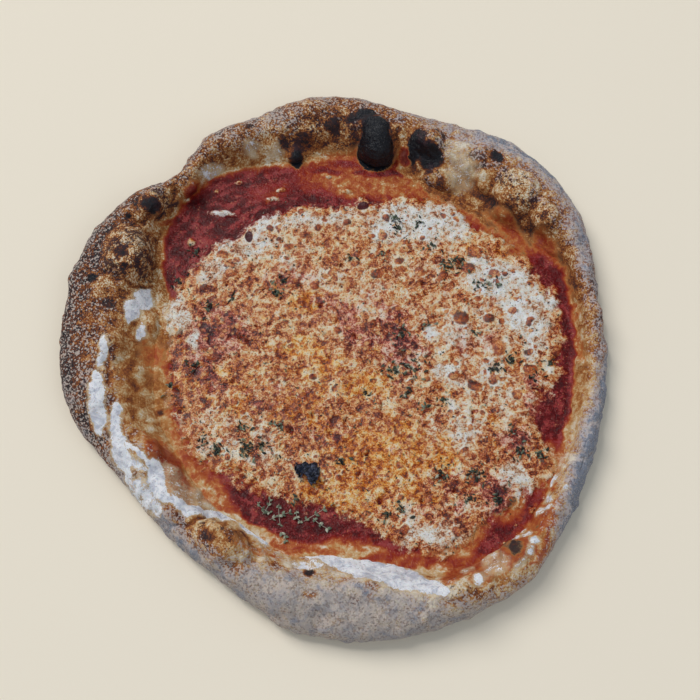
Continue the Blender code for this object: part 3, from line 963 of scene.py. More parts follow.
def charred(points):
    """How burnt places are, from 0 to 1.3."""
    near = 0.65 * points + 0.35 * loosened(points)
    ragged = noise(points, 2.6, 59)
    char = np.zeros(points.shape[:-1])
    for x, y, along, across, dark in CHARS:
        edge = spot(near, x, y, along, across) + 0.34 * (1.45 - dark) * ragged
        soft = 0.22 + 0.75 * (1.3 - dark)
        char = np.maximum(char, dark * smoothstep(edge, -0.9 * soft, soft))
    return char


def floor_fields(points):
    """Fields that the sauce and the thin edge of the cheese share with the rim's dough."""
    angle = np.degrees(np.arctan2(points[..., 1], points[..., 0]))
    flat = flat_points(points[..., 0], points[..., 1], SAUCE_TOP)
    char = charred(flat)
    heat = ring_curve(HEAT[0])(angle) + 0.12 * rough(flat, 16, 43) + 0.07 * noise(flat, 5, 44)
    return {
        "wet": wetness(points) * smoothstep(char, 0.95, 0.6),
        "streak": streaks(points[..., 0], points[..., 1]),
        "browning": np.maximum(heat, char),
        "crisp": ring_curve(CRISP[0])(angle),
    }


WET_REACH_CURVE = ring_curve(WET_REACH)
WET_FADE_CURVE = ring_curve(WET_FADE)


def blurred(values, reach):
    """Values on the rim's grid averaged over squares, closed along the second index."""
    total = sum(np.roll(values, k, axis=1) for k in range(-reach, reach + 1)) / (2 * reach + 1)
    padded = np.pad(total, ((reach, reach), (0, 0)), mode="edge")
    return sum(padded[k:k + len(values)] for k in range(2 * reach + 1)) / (2 * reach + 1)


def build_crust():
    """The dough: the CAD's rim with small blisters, creases, skin texture and baked colours."""
    rng = np.random.default_rng(11)
    angle = np.arange(SECTORS)[None, :] * 360 / SECTORS
    angle, way = np.broadcast_arrays(angle, CRUST_WAYS[:, None])
    points = blistered_rim(angle, way)
    top = smoothstep(way, 2.4, 2.1)
    fade = smoothstep(way, 0.02, 0.3) * smoothstep(way, 3.0, 2.75)

    loose = loosened(points)
    near = 0.65 * points + 0.35 * loose
    char = charred(points) * top
    leopard = np.zeros_like(way)
    for x, y, along, across, dense in LEOPARDS:
        leopard = np.maximum(leopard, dense * smoothstep(spot(points, x, y, along, across), -0.2, 0.4))
    leopard *= top
    raw = np.zeros_like(way)
    for x, y, along, across, strength in RAW_PATCHES:
        raw = np.maximum(raw, strength * smoothstep(spot(loose, x, y, along, across), -0.6, 0.4))
    for line, half_width, strength in RAW_STREAKS:
        raw = np.maximum(raw, strength * smoothstep(tapered(loose, line, half_width), 1.6, 0.3))
    raw *= 1.0 + 0.34 * noise(points, 5, 58) + 0.24 * noise(points, 2.2, 99)
    raw *= top * smoothstep(char, 0.66, 0.46)
    wet = wetness(points) * smoothstep(way, 1.85, 1.45) * smoothstep(char, 0.95, 0.6)

    dome = np.zeros_like(way)
    moat = np.zeros_like(way)
    for x, y, along, across, rise in DOMES:
        away = 1 - spot(near, x, y, along, across)
        dome = np.maximum(dome, rise * np.clip(1 - away**2, 0, None) ** 0.75)
        moat = np.maximum(moat, 0.16 * rise * np.exp(-((away - 1.10) / 0.14) ** 2))
    relief = (dome - moat) * top

    small = np.zeros_like(way)
    scorch = np.zeros_like(way)
    small, scorch = add_small_blisters(points, way, small, scorch, rng)

    heat = table_over_rim(HEAT_WAYS, HEAT, angle, way)
    heat = heat + 0.12 * rough(points, 16, 43) + 0.07 * noise(points, 5, 44) + 0.35 * scorch
    heat = np.maximum(heat, char)
    crisp = np.clip(table_over_rim(CRISP_WAYS, CRISP, angle, way), 0, None)
    flour = table_over_rim(FLOUR_WAYS, FLOUR, angle, way)
    flour = flour + 0.14 * rough(points, 14, 45)
    flour = flour * (1 - 0.85 * smoothstep(char, 0.35, 0.9) * smoothstep(way, 1.7, 1.3))

    crease = np.zeros_like(way)
    for line, half_width, depth in CREASES:
        crease += depth * smoothstep(line_distance(loose, line), half_width * 1.8, 0.0)
    crease *= top

    wrinkle = 1 - np.abs(noise(loose, 3.4, 46))
    height = (
        fade * (1.0 * rough(points, 26, 47) + 0.45 * noise(points, 8, 48) + 0.22 * noise(points, 3.2, 49))
        + fade * small
        + fade * relief
        - crease
        + fade * 0.8 * smoothstep(char, 0.75, 1.05) * (wrinkle - 0.6)
        + fade * 0.2 * smoothstep(raw, 0.2, 0.8) * (1.0 + rough(points, 6, 50))
        + fade * 0.35 * leopard * noise(points, 2.4, 57)
    )
    # painted shade: hollows of the relief get browner colour and ridges paler colour
    hollow_shade = np.clip((blurred(height, 5) - height) * 1.6, -0.4, 1.0)
    points = points + height[..., None] * grid_normals(points)
    points[..., 2] = np.clip(points[..., 2], 0, crust_high[2] + 0.4)
    points[-1, :, 2] = 0

    def floor_height(places):
        return np.full((len(places), 1), BASE_THICKNESS)

    def under_height(places):
        reach = np.linalg.norm(places, axis=1)
        dimple = 0.5 * smoothstep(noise(flat_points(places[:, 0], places[:, 1]), 13, 51), -0.1, 0.7)
        return (dimple * smoothstep(reach, 142, 120))[:, None]

    grid = points.reshape(-1, 3)
    rows = len(CRUST_WAYS)
    faces = ring_faces(rows, SECTORS)
    floor_points, floor_faces = thinning_disc(
        0, SECTORS, points[0], [(0.97, True), (0.9, True), (0.75, True), (0.4, True)], floor_height, True,
    )
    shift = len(grid) - SECTORS
    floor_faces = [tuple(v if v < SECTORS else v + shift for v in face) for face in floor_faces]
    under_start = len(grid) + len(floor_points)
    shares = [(0.985, True)] + [(s, False) for s in np.linspace(0.97, 0.80, 10)]
    shares += [(0.785, True)] + [(s, False) for s in np.linspace(0.765, 0.40, 18)]
    shares += [(0.38, True)] + [(s, False) for s in np.linspace(0.35, 0.10, 9)]
    under_points, under_faces = thinning_disc(0, SECTORS, points[-1], shares, under_height, False)
    first = (rows - 1) * SECTORS
    under_faces = [
        tuple(v + first if v < SECTORS else v - SECTORS + under_start for v in face) for face in under_faces
    ]

    spots = flat_points(under_points[:, 0], under_points[:, 1])
    under_heat = 0.30 + 0.16 * rough(spots, 30, 52) + 0.5 * smoothstep(rough(spots, 15, 53), 0.28, 0.62)
    under_flour = 0.30 + 0.30 * rough(spots, 24, 54)
    blue = np.broadcast_to(ring_curve(COOL_TINT_AND_SHADE)(angle), way.shape)
    idle = np.zeros(len(floor_points))
    bare = np.zeros(len(under_points))
    fields = {
        "browning": np.concatenate([heat.ravel(), idle, under_heat]),
        "flour": np.concatenate([flour.ravel(), idle, under_flour]),
        "raw": np.concatenate([raw.ravel(), idle, bare]),
        "wet": np.concatenate([wet.ravel(), idle, bare]),
        "leopard": np.concatenate([leopard.ravel(), idle, bare]),
        "hollow_shade": np.concatenate([hollow_shade.ravel(), idle, bare]),
        "cool_tint_and_shade": np.concatenate([blue.ravel(), idle, bare + 0.3]),
        "crisp": np.concatenate([crisp.ravel(), idle, bare + 0.8]),
    }
    piece = add_mesh(
        "baked_crust", np.vstack([grid, floor_points, under_points]), faces + floor_faces + under_faces,
        dough_look(), fields,
    )
    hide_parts("crust")
    return points, flour, way


crust_points, crust_flour, crust_way = build_crust()


def build_flour_grains(count=9000):
    """Loose grains of flour on the rim, mostly on its outer side."""
    rng = np.random.default_rng(23)
    normals = grid_normals(crust_points)
    share = np.clip(crust_flour, 0, 1) * smoothstep(crust_way, 1.0, 1.4) * smoothstep(crust_way, 2.9, 2.5)
    chosen = rng.choice(share.size, count, replace=False, p=(share / share.sum()).ravel())
    places = crust_points.reshape(-1, 3)[chosen]
    outward = normals.reshape(-1, 3)[chosen]
    size = rng.uniform(0.10, 0.27, count)[:, None]
    shape = np.array([(1, 0, 0), (0, 1, 0), (-1, 0, 0), (0, -1, 0), (0, 0, 1), (0, 0, -1)], float)
    turned = shape[None] * rng.uniform(0.7, 1.3, (count, 6, 1)) + rng.uniform(-0.25, 0.25, (count, 6, 3))
    points = places[:, None] + outward[:, None] * size[:, None] * 0.35 + turned * size[:, None]
    points[..., 2] = np.clip(points[..., 2], 0.02, None)
    around = [(0, 1, 4), (1, 2, 4), (2, 3, 4), (3, 0, 4), (1, 0, 5), (2, 1, 5), (3, 2, 5), (0, 3, 5)]
    faces = (np.array(around)[None] + 6 * np.arange(count)[:, None, None]).reshape(-1, 3).tolist()
    piece = add_mesh("loose_flour", points, faces, flour_look())


build_flour_grains()

# --------------------------------------------------------------------------------------------- sauce

SAUCE_SECTORS = 800
def sauce_height(x, y):
    """Height of the sauce's upper face over a place in plan."""
    places = flat_points(x, y)
    radius = np.hypot(x, y)
    angle = np.degrees(np.arctan2(y, x))
    rim = foot_radius(angle) - radius
    return (
        SAUCE_TOP - 0.1 + 0.45 * rough(places, 24, 61, 2) + 0.16 * noise(places, 5, 62)
        + 0.6 * smoothstep(rim, 3.0, -2.0)
    )


def streaks(x, y):
    """Marks of the ladle that spread the sauce, which run along the rim."""
    angle = np.degrees(np.arctan2(y, x))
    stretched = flat_points(np.hypot(x, y) / 3.2, angle / 9 + 0.4 * noise(flat_points(x, y), 20, 63))
    return noise(stretched, 1.0, 64)


def build_sauce():
    """The sauce: a thin pool from the rim's foot inwards, ladle-marked, ending on the dough."""
    angle = np.arange(SAUCE_SECTORS)[None, :] * 360 / SAUCE_SECTORS
    reach = np.concatenate([np.linspace(0.30, 0.58, 8), np.linspace(0.59, 1.0, 64)])[::-1, None]
    edge = foot_radius(angle) + 7.0
    base = polar(angle, reach * edge)
    x, y = base[..., 0], base[..., 1]
    mark = streaks(x, y)
    z = sauce_height(x, y) + 0.09 * mark
    points = flat_points(x, y, z)
    rows = len(reach)
    faces = [face[::-1] for face in ring_faces(rows, SAUCE_SECTORS)]
    grid = points.reshape(-1, 3)
    hub = np.array([[0, 0, SAUCE_TOP - 0.2]])
    last = (rows - 1) * SAUCE_SECTORS
    bottom_ring = points[0].copy()
    bottom_ring[:, 2] = BASE_THICKNESS + 0.1
    bottom_hub = np.array([[0, 0, BASE_THICKNESS + 0.1]])
    start = len(grid)
    for j in range(SAUCE_SECTORS):
        k = (j + 1) % SAUCE_SECTORS
        faces.append((last + k, last + j, start))
        faces.append((j, k, start + 1 + k, start + 1 + j))
        faces.append((start + 1 + j, start + 1 + k, start + 1 + SAUCE_SECTORS))
    extra = np.zeros(SAUCE_SECTORS + 2)
    fields = {name: np.append(values.ravel(), extra) for name, values in floor_fields(points).items()}
    piece = add_mesh(
        "cooked_sauce", np.vstack([grid, hub, bottom_ring, bottom_hub]), faces, sauce_look(), fields,
    )
    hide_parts("tomato_sauce")


build_sauce()

# -------------------------------------------------------------------------------------------- cheese

CHEESE_STEP = 0.78
# How much farther than in the CAD the thin edge of the cheese reaches, by angle.
MELT_REACH = {
    0: 6, 12: 0, 30: 2, 45: 2, 60: -2, 75: 0, 90: -3, 105: -7, 118: -8, 134: -6, 148: -1, 157: 4, 166: 5,
    180: 3, 195: 3, 210: 5, 225: 5, 240: 3, 256: 3, 270: 0, 285: 2, 300: 3, 316: 3, 330: 6, 346: 9,
}
# Milky places: x, y, half width, half depth, strength.
WHITE = (
    (52, 96, 30, 13, 1.0), (40, 103, 14, 8, .9), (75, 98, 16, 9, .7), (100, 58, 20, 11, 1.0),
    (114, 38, 12, 16, 1.0), (90, 68, 14, 6, .7), (118, 18, 7, 14, .7), (125, 44, 10, 6, .8),
    (-56, 82, 24, 10, .6), (-38, 97, 20, 8, .75), (-70, 66, 18, 10, .5), (-15, 98, 18, 7, .6),
    (-30, 78, 20, 12, .45), (8, 98, 14, 8, .45), (85, 20, 38, 40, .36), (66, 2, 9, 5, .9),
    (58, 25, 5, 6, .95), (72, -4, 12, 5, .5), (92, -2, 14, 8, .45), (105, -20, 14, 14, .45),
    (75, -30, 24, 14, .42), (-86, 34, 5, 9, .9), (-80, 20, 4, 6, .8), (-88, -28, 5, 5, .5),
    (-52, -34, 20, 16, .40), (-66, -42, 14, 8, .45), (-40, -52, 16, 8, .38), (61, -93, 22, 7, .6),
    (45, -84, 12, 6, .45), (78, -80, 12, 6, .4), (104, -60, 9, 8, .9), (110, -70, 6, 6, .8),
    (-66, 103, 9, 4, 1.0), (-38, 117, 6, 6, 1.0), (20, 10, 16, 6, .25), (40, 64, 50, 20, .22),
    (-95, 39, 11, 13, .62),
)
# Places stained pink and red by sauce.
BLEED = (
    (28, 30, 22, 20, .65), (40, 14, 12, 12, .9), (50, 10, 10, 8, .7), (-66, 24, 20, 20, .70),
    (-74, -4, 16, 16, .45), (0, 38, 24, 12, .45), (118, -16, 9, 16, .7), (84, 20, 14, 10, .35),
    (-30, -14, 24, 14, .35), (106, -38, 10, 9, .6), (92, -72, 12, 12, .75), (96, -85, 8, 8, .9),
    (66, -62, 10, 8, .4), (-20, 62, 20, 10, .3), (-6, -34, 22, 10, .35), (62, -80, 22, 10, .4),
)
# Places golden with oil.
OIL = (
    (24, -52, 26, 20, 1.0), (2, -66, 22, 10, .8), (10, -78, 18, 8, .6), (40, -70, 20, 12, .6),
    (-16, 44, 9, 7, .9), (-18, 16, 14, 7, .9), (-4, 4, 24, 8, .6), (14, -6, 20, 10, .6),
    (60, -44, 20, 12, .55), (-8, -24, 26, 12, .5), (-56, -26, 14, 10, .4), (86, -34, 14, 10, .4),
    (44, -36, 16, 12, .5), (-60, -8, 26, 20, .40),
)
# Places toasted darker.
TOAST = (
    (-14, -30, 34, 16, .7), (-62, 10, 26, 26, .6), (-78, -10, 14, 24, .6), (30, -30, 14, 12, .4),
    (-40, 50, 18, 14, .3), (-90, -5, 8, 25, .8), (38, 22, 18, 20, .25), (94, -80, 16, 14, .6),
    (110, -50, 10, 12, .6), (60, -66, 30, 10, .35), (64, -84, 28, 12, .45), (22, -50, 26, 18, .45),
    (-66, 62, 20, 14, .35), (84, -48, 20, 10, .35), (-50, -20, 18, 12, .3), (66, 66, 20, 9, .35),
)
# Amber bubbles: x, y, radius.
BUBBLES = (
    (-37, 92, 2.9), (-32, 85, 1.8), (-26, 80, 2.3), (-65, 75, 3.4), (-60, 62, 3.4), (-80, 64, 2.8),
    (2, 112, 4.2), (-22, 110, 4.2), (31, 87, 3.4), (10, 96, 2.2), (28, 62, 3.2), (33, 60, 2.2),
    (-10, 55, 3.2), (-75, 54, 2.4), (-8, 92, 2.2), (16, 75, 2.3), (24, 74, 2.3), (4, 26, 2.4),
    (-67, 10, 3.4), (53, 64, 3.4), (67, 61, 3.4), (77, 72, 3.4), (82, 66, 4.4), (97, 62, 4.4),
    (68, 101, 2.3), (33, 99, 2.8), (86, 77, 4.6), (77, 34, 4.6), (93, 34, 3.8), (107, 39, 2.8),
    (116, 31, 2.3), (98, 16, 5.2), (115, 13, 2.8), (115, 2, 4.2), (77, 3, 2.4), (71, -2, 3.2),
    (83, -8, 3.8), (94, -4, 3.2), (107, -13, 2.8), (41, 71, 3.2), (39, 40, 2.6), (101, -75, 3.6),
    (121, -52, 3.6), (39, -105, 3.2), (41, -91, 3.2), (70, -92, 3.4),
)
# Dark, almost black-red drops: x, y, half width, half depth.
DROPS = ((-49, 87, 3.0, 4.4), (19, 108, 3.6, 4.0), (-22, 110, 3.4, 3.2))
# Blobs of cheese that lie apart on the sauce: x, y, half width, half depth.
STRAYS = (
    (-66, 103, 10, 3), (-36, 113, 6, 2.0), (-88, 112, 2.4, 2.4), (-70, 118, 2.6, 2.0), (-2, 128, 2, 2),
    (112, -80, 4.2, 2.6), (128, 45, 9, 4), (10, 118, 5, 2.6), (-56, 124, 3.4, 2.2), (120, -74, 2.2, 2.2),
    (-84, 84, 3.6, 3), (133, 26, 3, 7), (-30, 119, 4, 2), (104, -88, 2.4, 2.4), (96, -98, 3.4, 2),
)
RANDOM_BUBBLES = 900


def oval(x, y, centre_x, centre_y, half_width, half_depth):
    """1 at the centre of an ellipse, 0 at its edge and below 0 outside."""
    return 1 - np.hypot((x - centre_x) / half_width, (y - centre_y) / half_depth)


def blend_ovals(x, y, ovals, spread=0.5):
    """The strongest of some soft-edged ellipses at each place."""
    total = np.zeros_like(x)
    for centre_x, centre_y, half_width, half_depth, strength in ovals:
        inside = oval(x, y, centre_x, centre_y, half_width, half_depth)
        total = np.maximum(total, strength * smoothstep(inside, -spread, spread))
    return total


def build_cheese():
    """The cheese: a lacy melted sheet with bubbles, holes and an uneven edge, over the sauce."""
    rng = np.random.default_rng(5)
    steps = int((max(FOOT_RADIUS.values()) + 8) / CHEESE_STEP) + 2
    axis = np.arange(-steps, steps + 1) * CHEESE_STEP
    x, y = np.meshgrid(axis, axis)
    flat = flat_points(x, y)
    radius = np.hypot(x, y)
    angle = np.degrees(np.arctan2(y, x))
    wander = flat + 1.3 * np.stack([noise(flat, 7, 71), noise(flat, 7, 72), 0 * x], axis=-1)
    wx, wy = wander[..., 0], wander[..., 1]

    reach = cheese_radius(angle) + ring_curve(MELT_REACH)(angle)
    inside = reach - radius + 4.0 * noise(flat, 13, 73) + 2.6 * noise(flat, 5, 74) + 1.2
    for place_x, place_y, half_width, half_depth in STRAYS:
        lump = oval(wx, wy, place_x, place_y, half_width, half_depth)
        inside = np.maximum(inside, 7.0 * lump * min(half_width, half_depth) / 2)
    film = smoothstep(inside, -1.0, 11.0)
    white = blend_ovals(wx, wy, WHITE, 0.7)
    white = np.clip(white + 0.24 * noise(flat, 8, 75) + 0.26 * noise(flat, 17, 86) - 0.02, 0, 1)
    toast = np.clip(blend_ovals(wx, wy, TOAST, 0.7) + 0.45 * noise(flat, 12, 90) + 0.25 * noise(flat, 24, 95), -0.3, 1.2)
    bleed = np.clip(blend_ovals(wx, wy, BLEED) + 0.20 * noise(flat, 8, 76) + 0.34 * noise(flat, 17, 87), 0, 1)
    oil = np.clip(blend_ovals(wx, wy, OIL) + 0.20 * noise(flat, 8, 77) + 0.36 * noise(flat, 15, 88), 0, 1)

    ridge = 0.50 * noise(wander, 3.8, 78) + 0.42 * noise(wander, 2.0, 79) + 0.3 * noise(flat, 9, 80)
    wisp = smoothstep(np.abs(noise(wander, 6.5, 89)), 0.16, 0.0)
    ridge = ridge + 0.35 * white - 0.25 * bleed - 0.05 * oil + 0.35 * wisp - 0.05

    amber = np.zeros_like(x)
    dome = np.zeros_like(x)
    bubbles = [(*bubble, rng.uniform(0.65, 1.2)) for bubble in BUBBLES]
    while len(bubbles) < len(BUBBLES) + RANDOM_BUBBLES:
        turn, share = rng.uniform(0, 360), math.sqrt(rng.random())
        size = 0.7 + 1.5 * rng.random() ** 2
        place = polar(turn, share * (float(cheese_radius(turn)) - 4))
        bubbles.append((place[0], place[1], size, rng.uniform(0.35, 1.0)))
    bubble_shading = np.zeros_like(x)
    for centre_x, centre_y, size, depth in bubbles:
        near = 2 * size + 1
        columns = slice(*np.searchsorted(axis, (centre_x - near, centre_x + near)))
        rows = slice(*np.searchsorted(axis, (centre_y - near, centre_y + near)))
        away = np.hypot(wx[rows, columns] - centre_x, (wy[rows, columns] - centre_y) * 1.1) / size
        # painted shade and highlight: each bubble is coloured darker on one side, turned at random, and towards its
        # edge, and lighter on the other side
        shaded_side_turn = rng.uniform(0, 2 * math.pi)
        side = (wx[rows, columns] - centre_x) * math.cos(shaded_side_turn) + (wy[rows, columns] - centre_y) * math.sin(shaded_side_turn)
        inner = smoothstep(away, 1.15, 0.60)
        shade = np.clip(0.8 * depth - 0.26 + 0.34 * side / size + 0.16 * away, 0.05, 0.95)
        bubble_shading[rows, columns] = np.where(inner > amber[rows, columns], shade, bubble_shading[rows, columns])
        amber[rows, columns] = np.maximum(amber[rows, columns], inner)
        ring = np.exp(-((away - 1.18) / 0.20) ** 2)
        ridge[rows, columns] += 0.5 * ring - 0.3 * inner
        dome[rows, columns] += size * (0.24 * np.clip(1 - away**2, 0, None) ** 0.7 + 0.05 * ring)

    drop = np.zeros_like(x)
    for centre_x, centre_y, half_width, half_depth in DROPS:
        drop = np.maximum(drop, smoothstep(oval(wx, wy, centre_x, centre_y, half_width, half_depth), -0.1, 0.5))

    lace = noise(wander, 6.5, 81) + 0.4 * noise(wander, 2.6, 82)
    near_edge = smoothstep(inside, 14, 0)
    hole = smoothstep(lace, 0.66 - 0.30 * near_edge - 0.10 * bleed, 1.0 - 0.30 * near_edge)
    hole *= 1 - smoothstep(white, 0.4, 0.8)
    thickness = (CHEESE_TOP - SAUCE_TOP) * (0.06 + 0.94 * film) * smoothstep(inside, -1.5, 1.5)
    swell = 0.5 * rough(flat, 26, 83, 2) + 0.38 * noise(flat, 10, 84)
    body = thickness * (0.70 + 0.16 * swell) + 0.34 * np.clip(ridge, -0.8, 0.8) * smoothstep(inside, -1, 4)
    film = film * (1 - 0.8 * hole)
    height = sauce_height(x, y) + body + dome * smoothstep(inside, 0, 2) - 2.4 * hole * (1 - amber)
    height = height - 0.8 * smoothstep(inside, 0.8, -3.0)
    height = height - 5.0 * smoothstep(radius - foot_radius(angle), 3.0, 6.0)
    height = np.maximum(height, BASE_THICKNESS + 0.3)

    pit = smoothstep(noise(wander, 1.7, 85), 0.50, 0.72) * (0.5 + 0.5 * white)
    height = height - 0.5 * pit * smoothstep(inside, 0, 2)

    kept = radius < foot_radius(angle) + 7.0
    number = np.full(x.shape, -1)
    number[kept] = np.arange(kept.sum())
    corners = np.stack([number[:-1, :-1], number[:-1, 1:], number[1:, 1:], number[1:, :-1]], axis=-1)
    faces = corners[(corners >= 0).all(axis=-1)]
    points = flat_points(x, y, height)[kept]
    used = np.zeros(len(points), bool)
    used[faces] = True
    renumber = np.cumsum(used) - 1
    faces = renumber[faces]
    points = points[used]

    edges = np.concatenate([faces[:, [k, (k + 1) % 4]] for k in range(4)])
    key = {tuple(edge) for edge in edges.tolist()}
    rim = [edge for edge in edges.tolist() if (edge[1], edge[0]) not in key]
    hub = len(points)
    points = np.vstack([points, [[0, 0, BASE_THICKNESS + 0.2]]])
    all_faces = faces.tolist() + [(end, start, hub) for start, end in rim]

    def field(values):
        return np.append(values[kept][used], 0.0)

    below = {name: field(values) for name, values in floor_fields(flat).items()}
    piece = add_mesh("melted_cheese", points, all_faces, cheese_look(), below | {
        "white": field(white), "bleed": field(bleed), "oil": field(oil), "ridge": field(ridge),
        "amber": field(amber), "bubble_shading": field(bubble_shading), "drop": field(drop), "pit": field(pit), "film": field(film),
        "toast": field(toast),
    })
    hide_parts("mozzarella")
    return axis, height


cheese_axis, cheese_height = build_cheese()


def top_height(x, y):
    """Height of whatever lies on top at a place: the cheese or the sauce."""
    column = np.clip(np.searchsorted(cheese_axis, x), 0, len(cheese_axis) - 1)
    row = np.clip(np.searchsorted(cheese_axis, y), 0, len(cheese_axis) - 1)
    sauce = sauce_height(np.asarray(x, float), np.asarray(y, float))
    return np.maximum(cheese_height[row, column], sauce)


# --------------------------------------------------------------------------------------------- herbs

# Clusters of dried leaves: x, y, spread, number of flakes.
HERB_CLUSTERS = (
    (-32, 51, 2.6, 16), (11, 72, 2.2, 8), (39, 99, 2.6, 12), (41, 92, 2.0, 8), (70, 66, 3.4, 14),
    (76, 70, 3.0, 12), (41, 24, 3.4, 14), (48, 4, 4.0, 20), (36, 2, 3.6, 16), (54, -21, 2.0, 7),
    (65, -17, 2.4, 8), (-47, -45, 3.2, 22), (-38, -43, 3.6, 14), (-65, -46, 2.8, 14),
    (-72, -40, 3.0, 8), (-50, -33, 2.0, 9), (-29, -31, 2.4, 8), (6, -52, 2.6, 10), (-19, -74, 2.2, 6),
    (63, -60, 3.0, 13), (82, -60, 3.2, 15), (107, -46, 3.4, 14), (31, -85, 2.4, 7), (39, -80, 2.2, 8),
    (-72, 41, 2.4, 11), (-90, 58, 2.4, 8), (96, 4, 3.0, 14), (104, 8, 2.4, 8), (128, 7, 2.6, 8),
    (104, -35, 2.8, 9), (93, 56, 1.8, 6), (100, 55, 1.8, 6), (-81, 77, 2.2, 8), (31, 75, 1.6, 5),
    (88, 56, 2.0, 6), (119, -49, 2.6, 8), (93, -74, 2.8, 10), (78, -74, 2.4, 8), (-27, 58, 2.0, 8),
    (85, 25, 2.2, 6), (60, 80, 3.0, 8), (53, 96, 2.4, 6), (118, -2, 2.4, 8), (-59, 47, 2.0, 6),
    (-79, 5, 2.4, 5), (44, -12, 3.0, 10), (56, 30, 2.4, 6), (-92, -8, 2.2, 5), (20, -12, 2.2, 5),
)
LOOSE_FLAKES = 3200


def leaf_blade(length, width, fold, segments=4):
    """Points and faces of a small folded leaf with a thickness, lying along +X, tip at +X."""
    share = np.linspace(0, 1, segments + 1)
    half = width / 2 * np.sin(np.pi * share ** 0.8) ** 0.7
    half[0] = half[-1] = width * 0.06
    thick = 0.09 + 0.03 * width
    x = (share - 0.5) * length
    rise = 0.12 * length * (1 - (2 * share - 1) ** 2)
    columns = []
    for side, up in ((-1, fold), (0, 0.0), (1, fold)):
        columns.append(np.column_stack([x, side * half, rise + up * np.abs(half)]))
    top = np.stack(columns, axis=1)
    bottom = top - np.array([0, 0, thick])
    points = np.concatenate([top.reshape(-1, 3), bottom.reshape(-1, 3)])
    count = 3 * (segments + 1)
    faces = []
    for k in range(segments):
        for side in (0, 1):
            a, b = 3 * k + side, 3 * k + side + 3
            faces.append((a, b, b + 1, a + 1))
            faces.append((a + count, a + 1 + count, b + 1 + count, b + count))
        for edge, turn in ((0, 1), (2, -1)):
            face = (3 * k + edge, 3 * k + edge + count, 3 * k + edge + 3 + count, 3 * k + edge + 3)
            faces.append(face[::turn])
    end = 3 * segments
    for start, turn in ((0, 1), (end, -1)):
        faces.append((start, start + 1, start + 1 + count, start + count)[::turn])
        faces.append((start + 1, start + 2, start + 2 + count, start + 1 + count)[::turn])
    return points, faces


def turned(points, heading, tilt, roll):
    """Points rolled about X, tilted about Y and then turned about Z, by radians."""
    for angle, (first, second) in ((roll, (1, 2)), (tilt, (2, 0)), (heading, (0, 1))):
        moved = points.copy()
        moved[:, first] = points[:, first] * math.cos(angle) - points[:, second] * math.sin(angle)
        moved[:, second] = points[:, first] * math.sin(angle) + points[:, second] * math.cos(angle)
        points = moved
    return points


class Heap:
    """Many small meshes joined into one."""

    def __init__(self):
        self.points, self.faces, self.shades, self.count = [], [], [], 0

    def add(self, points, faces, shade):
        self.points.append(points)
        self.faces += [tuple(v + self.count for v in face) for face in faces]
        self.shades.append(np.full(len(points), shade))
        self.count += len(points)

    def build(self, name, material):
        fields = {"shade": np.concatenate(self.shades)}
        piece = add_mesh(name, np.vstack(self.points), self.faces, material, fields)
        return piece


def build_herbs(material):
    """Dried oregano: clusters of small folded leaves, and flakes strewn over the whole topping."""
    rng = np.random.default_rng(17)
    heap = Heap()

    def flake(x, y, length, lift):
        segments = 3 if length > 1.2 else 2
        points, faces = leaf_blade(length, length * rng.uniform(0.3, 0.55), rng.uniform(-0.3, 0.8), segments)
        points = turned(points, rng.uniform(0, 2 * math.pi), rng.normal(0, 0.35), rng.normal(0, 0.5))
        low = points[:, 2].min()
        points += np.array([x, y, float(top_height(x, y)) - low - 0.12 + lift])
        heap.add(points, faces, 0.95 * rng.random() ** 1.6)

    for x, y, spread, count in HERB_CLUSTERS:
        for k in range(int(1.9 * count)):
            away_x, away_y = rng.normal(0, spread * (0.6 if k % 3 else 1.4), 2)
            flake(x + away_x, y + away_y, rng.uniform(1.0, 3.5), rng.uniform(0, 0.5) if k % 2 else 0)
    for _ in range(LOOSE_FLAKES):
        turn, share = rng.uniform(0, 360), math.sqrt(rng.random())
        x, y, _z = polar(turn, share * (float(cheese_radius(turn)) + 2))
        flake(x, y, 0.45 + 1.4 * rng.random() ** 3, 0)
    heap.build("dried_herbs", material)


def stem(points, radius, sides=6):
    """A round stalk through some points."""
    points = np.array(points, float)
    run = np.gradient(points, axis=0)
    run /= np.linalg.norm(run, axis=1, keepdims=True)
    side = np.cross(run, (0, 0, 1.0))
    side /= np.linalg.norm(side, axis=1, keepdims=True)
    up = np.cross(side, run)
    turn = np.arange(sides) * 2 * np.pi / sides
    rings = points[:, None] + radius * (
        np.cos(turn)[None, :, None] * side[:, None] + np.sin(turn)[None, :, None] * up[:, None]
    )
    faces = ring_faces(len(points), sides)
    faces.append(tuple(range(sides))[::-1])
    faces.append(tuple(range((len(points) - 1) * sides, len(points) * sides)))
    return rings.reshape(-1, 3), faces


# Stalks of the thyme on the lower sauce: end points in plan, with leaves along them.
SPRIGS = (
    ((-40, -75), (-33, -81)), ((-37, -82), (-33, -74)), ((-28, -76), (-27, -88)),
    ((-33, -85), (-22, -81)), ((-14, -86), (-3, -79)), ((-9, -84), (-1, -90)),
    ((-27, -92), (-24, -97)), ((-18, -80), (-16, -86)),
)


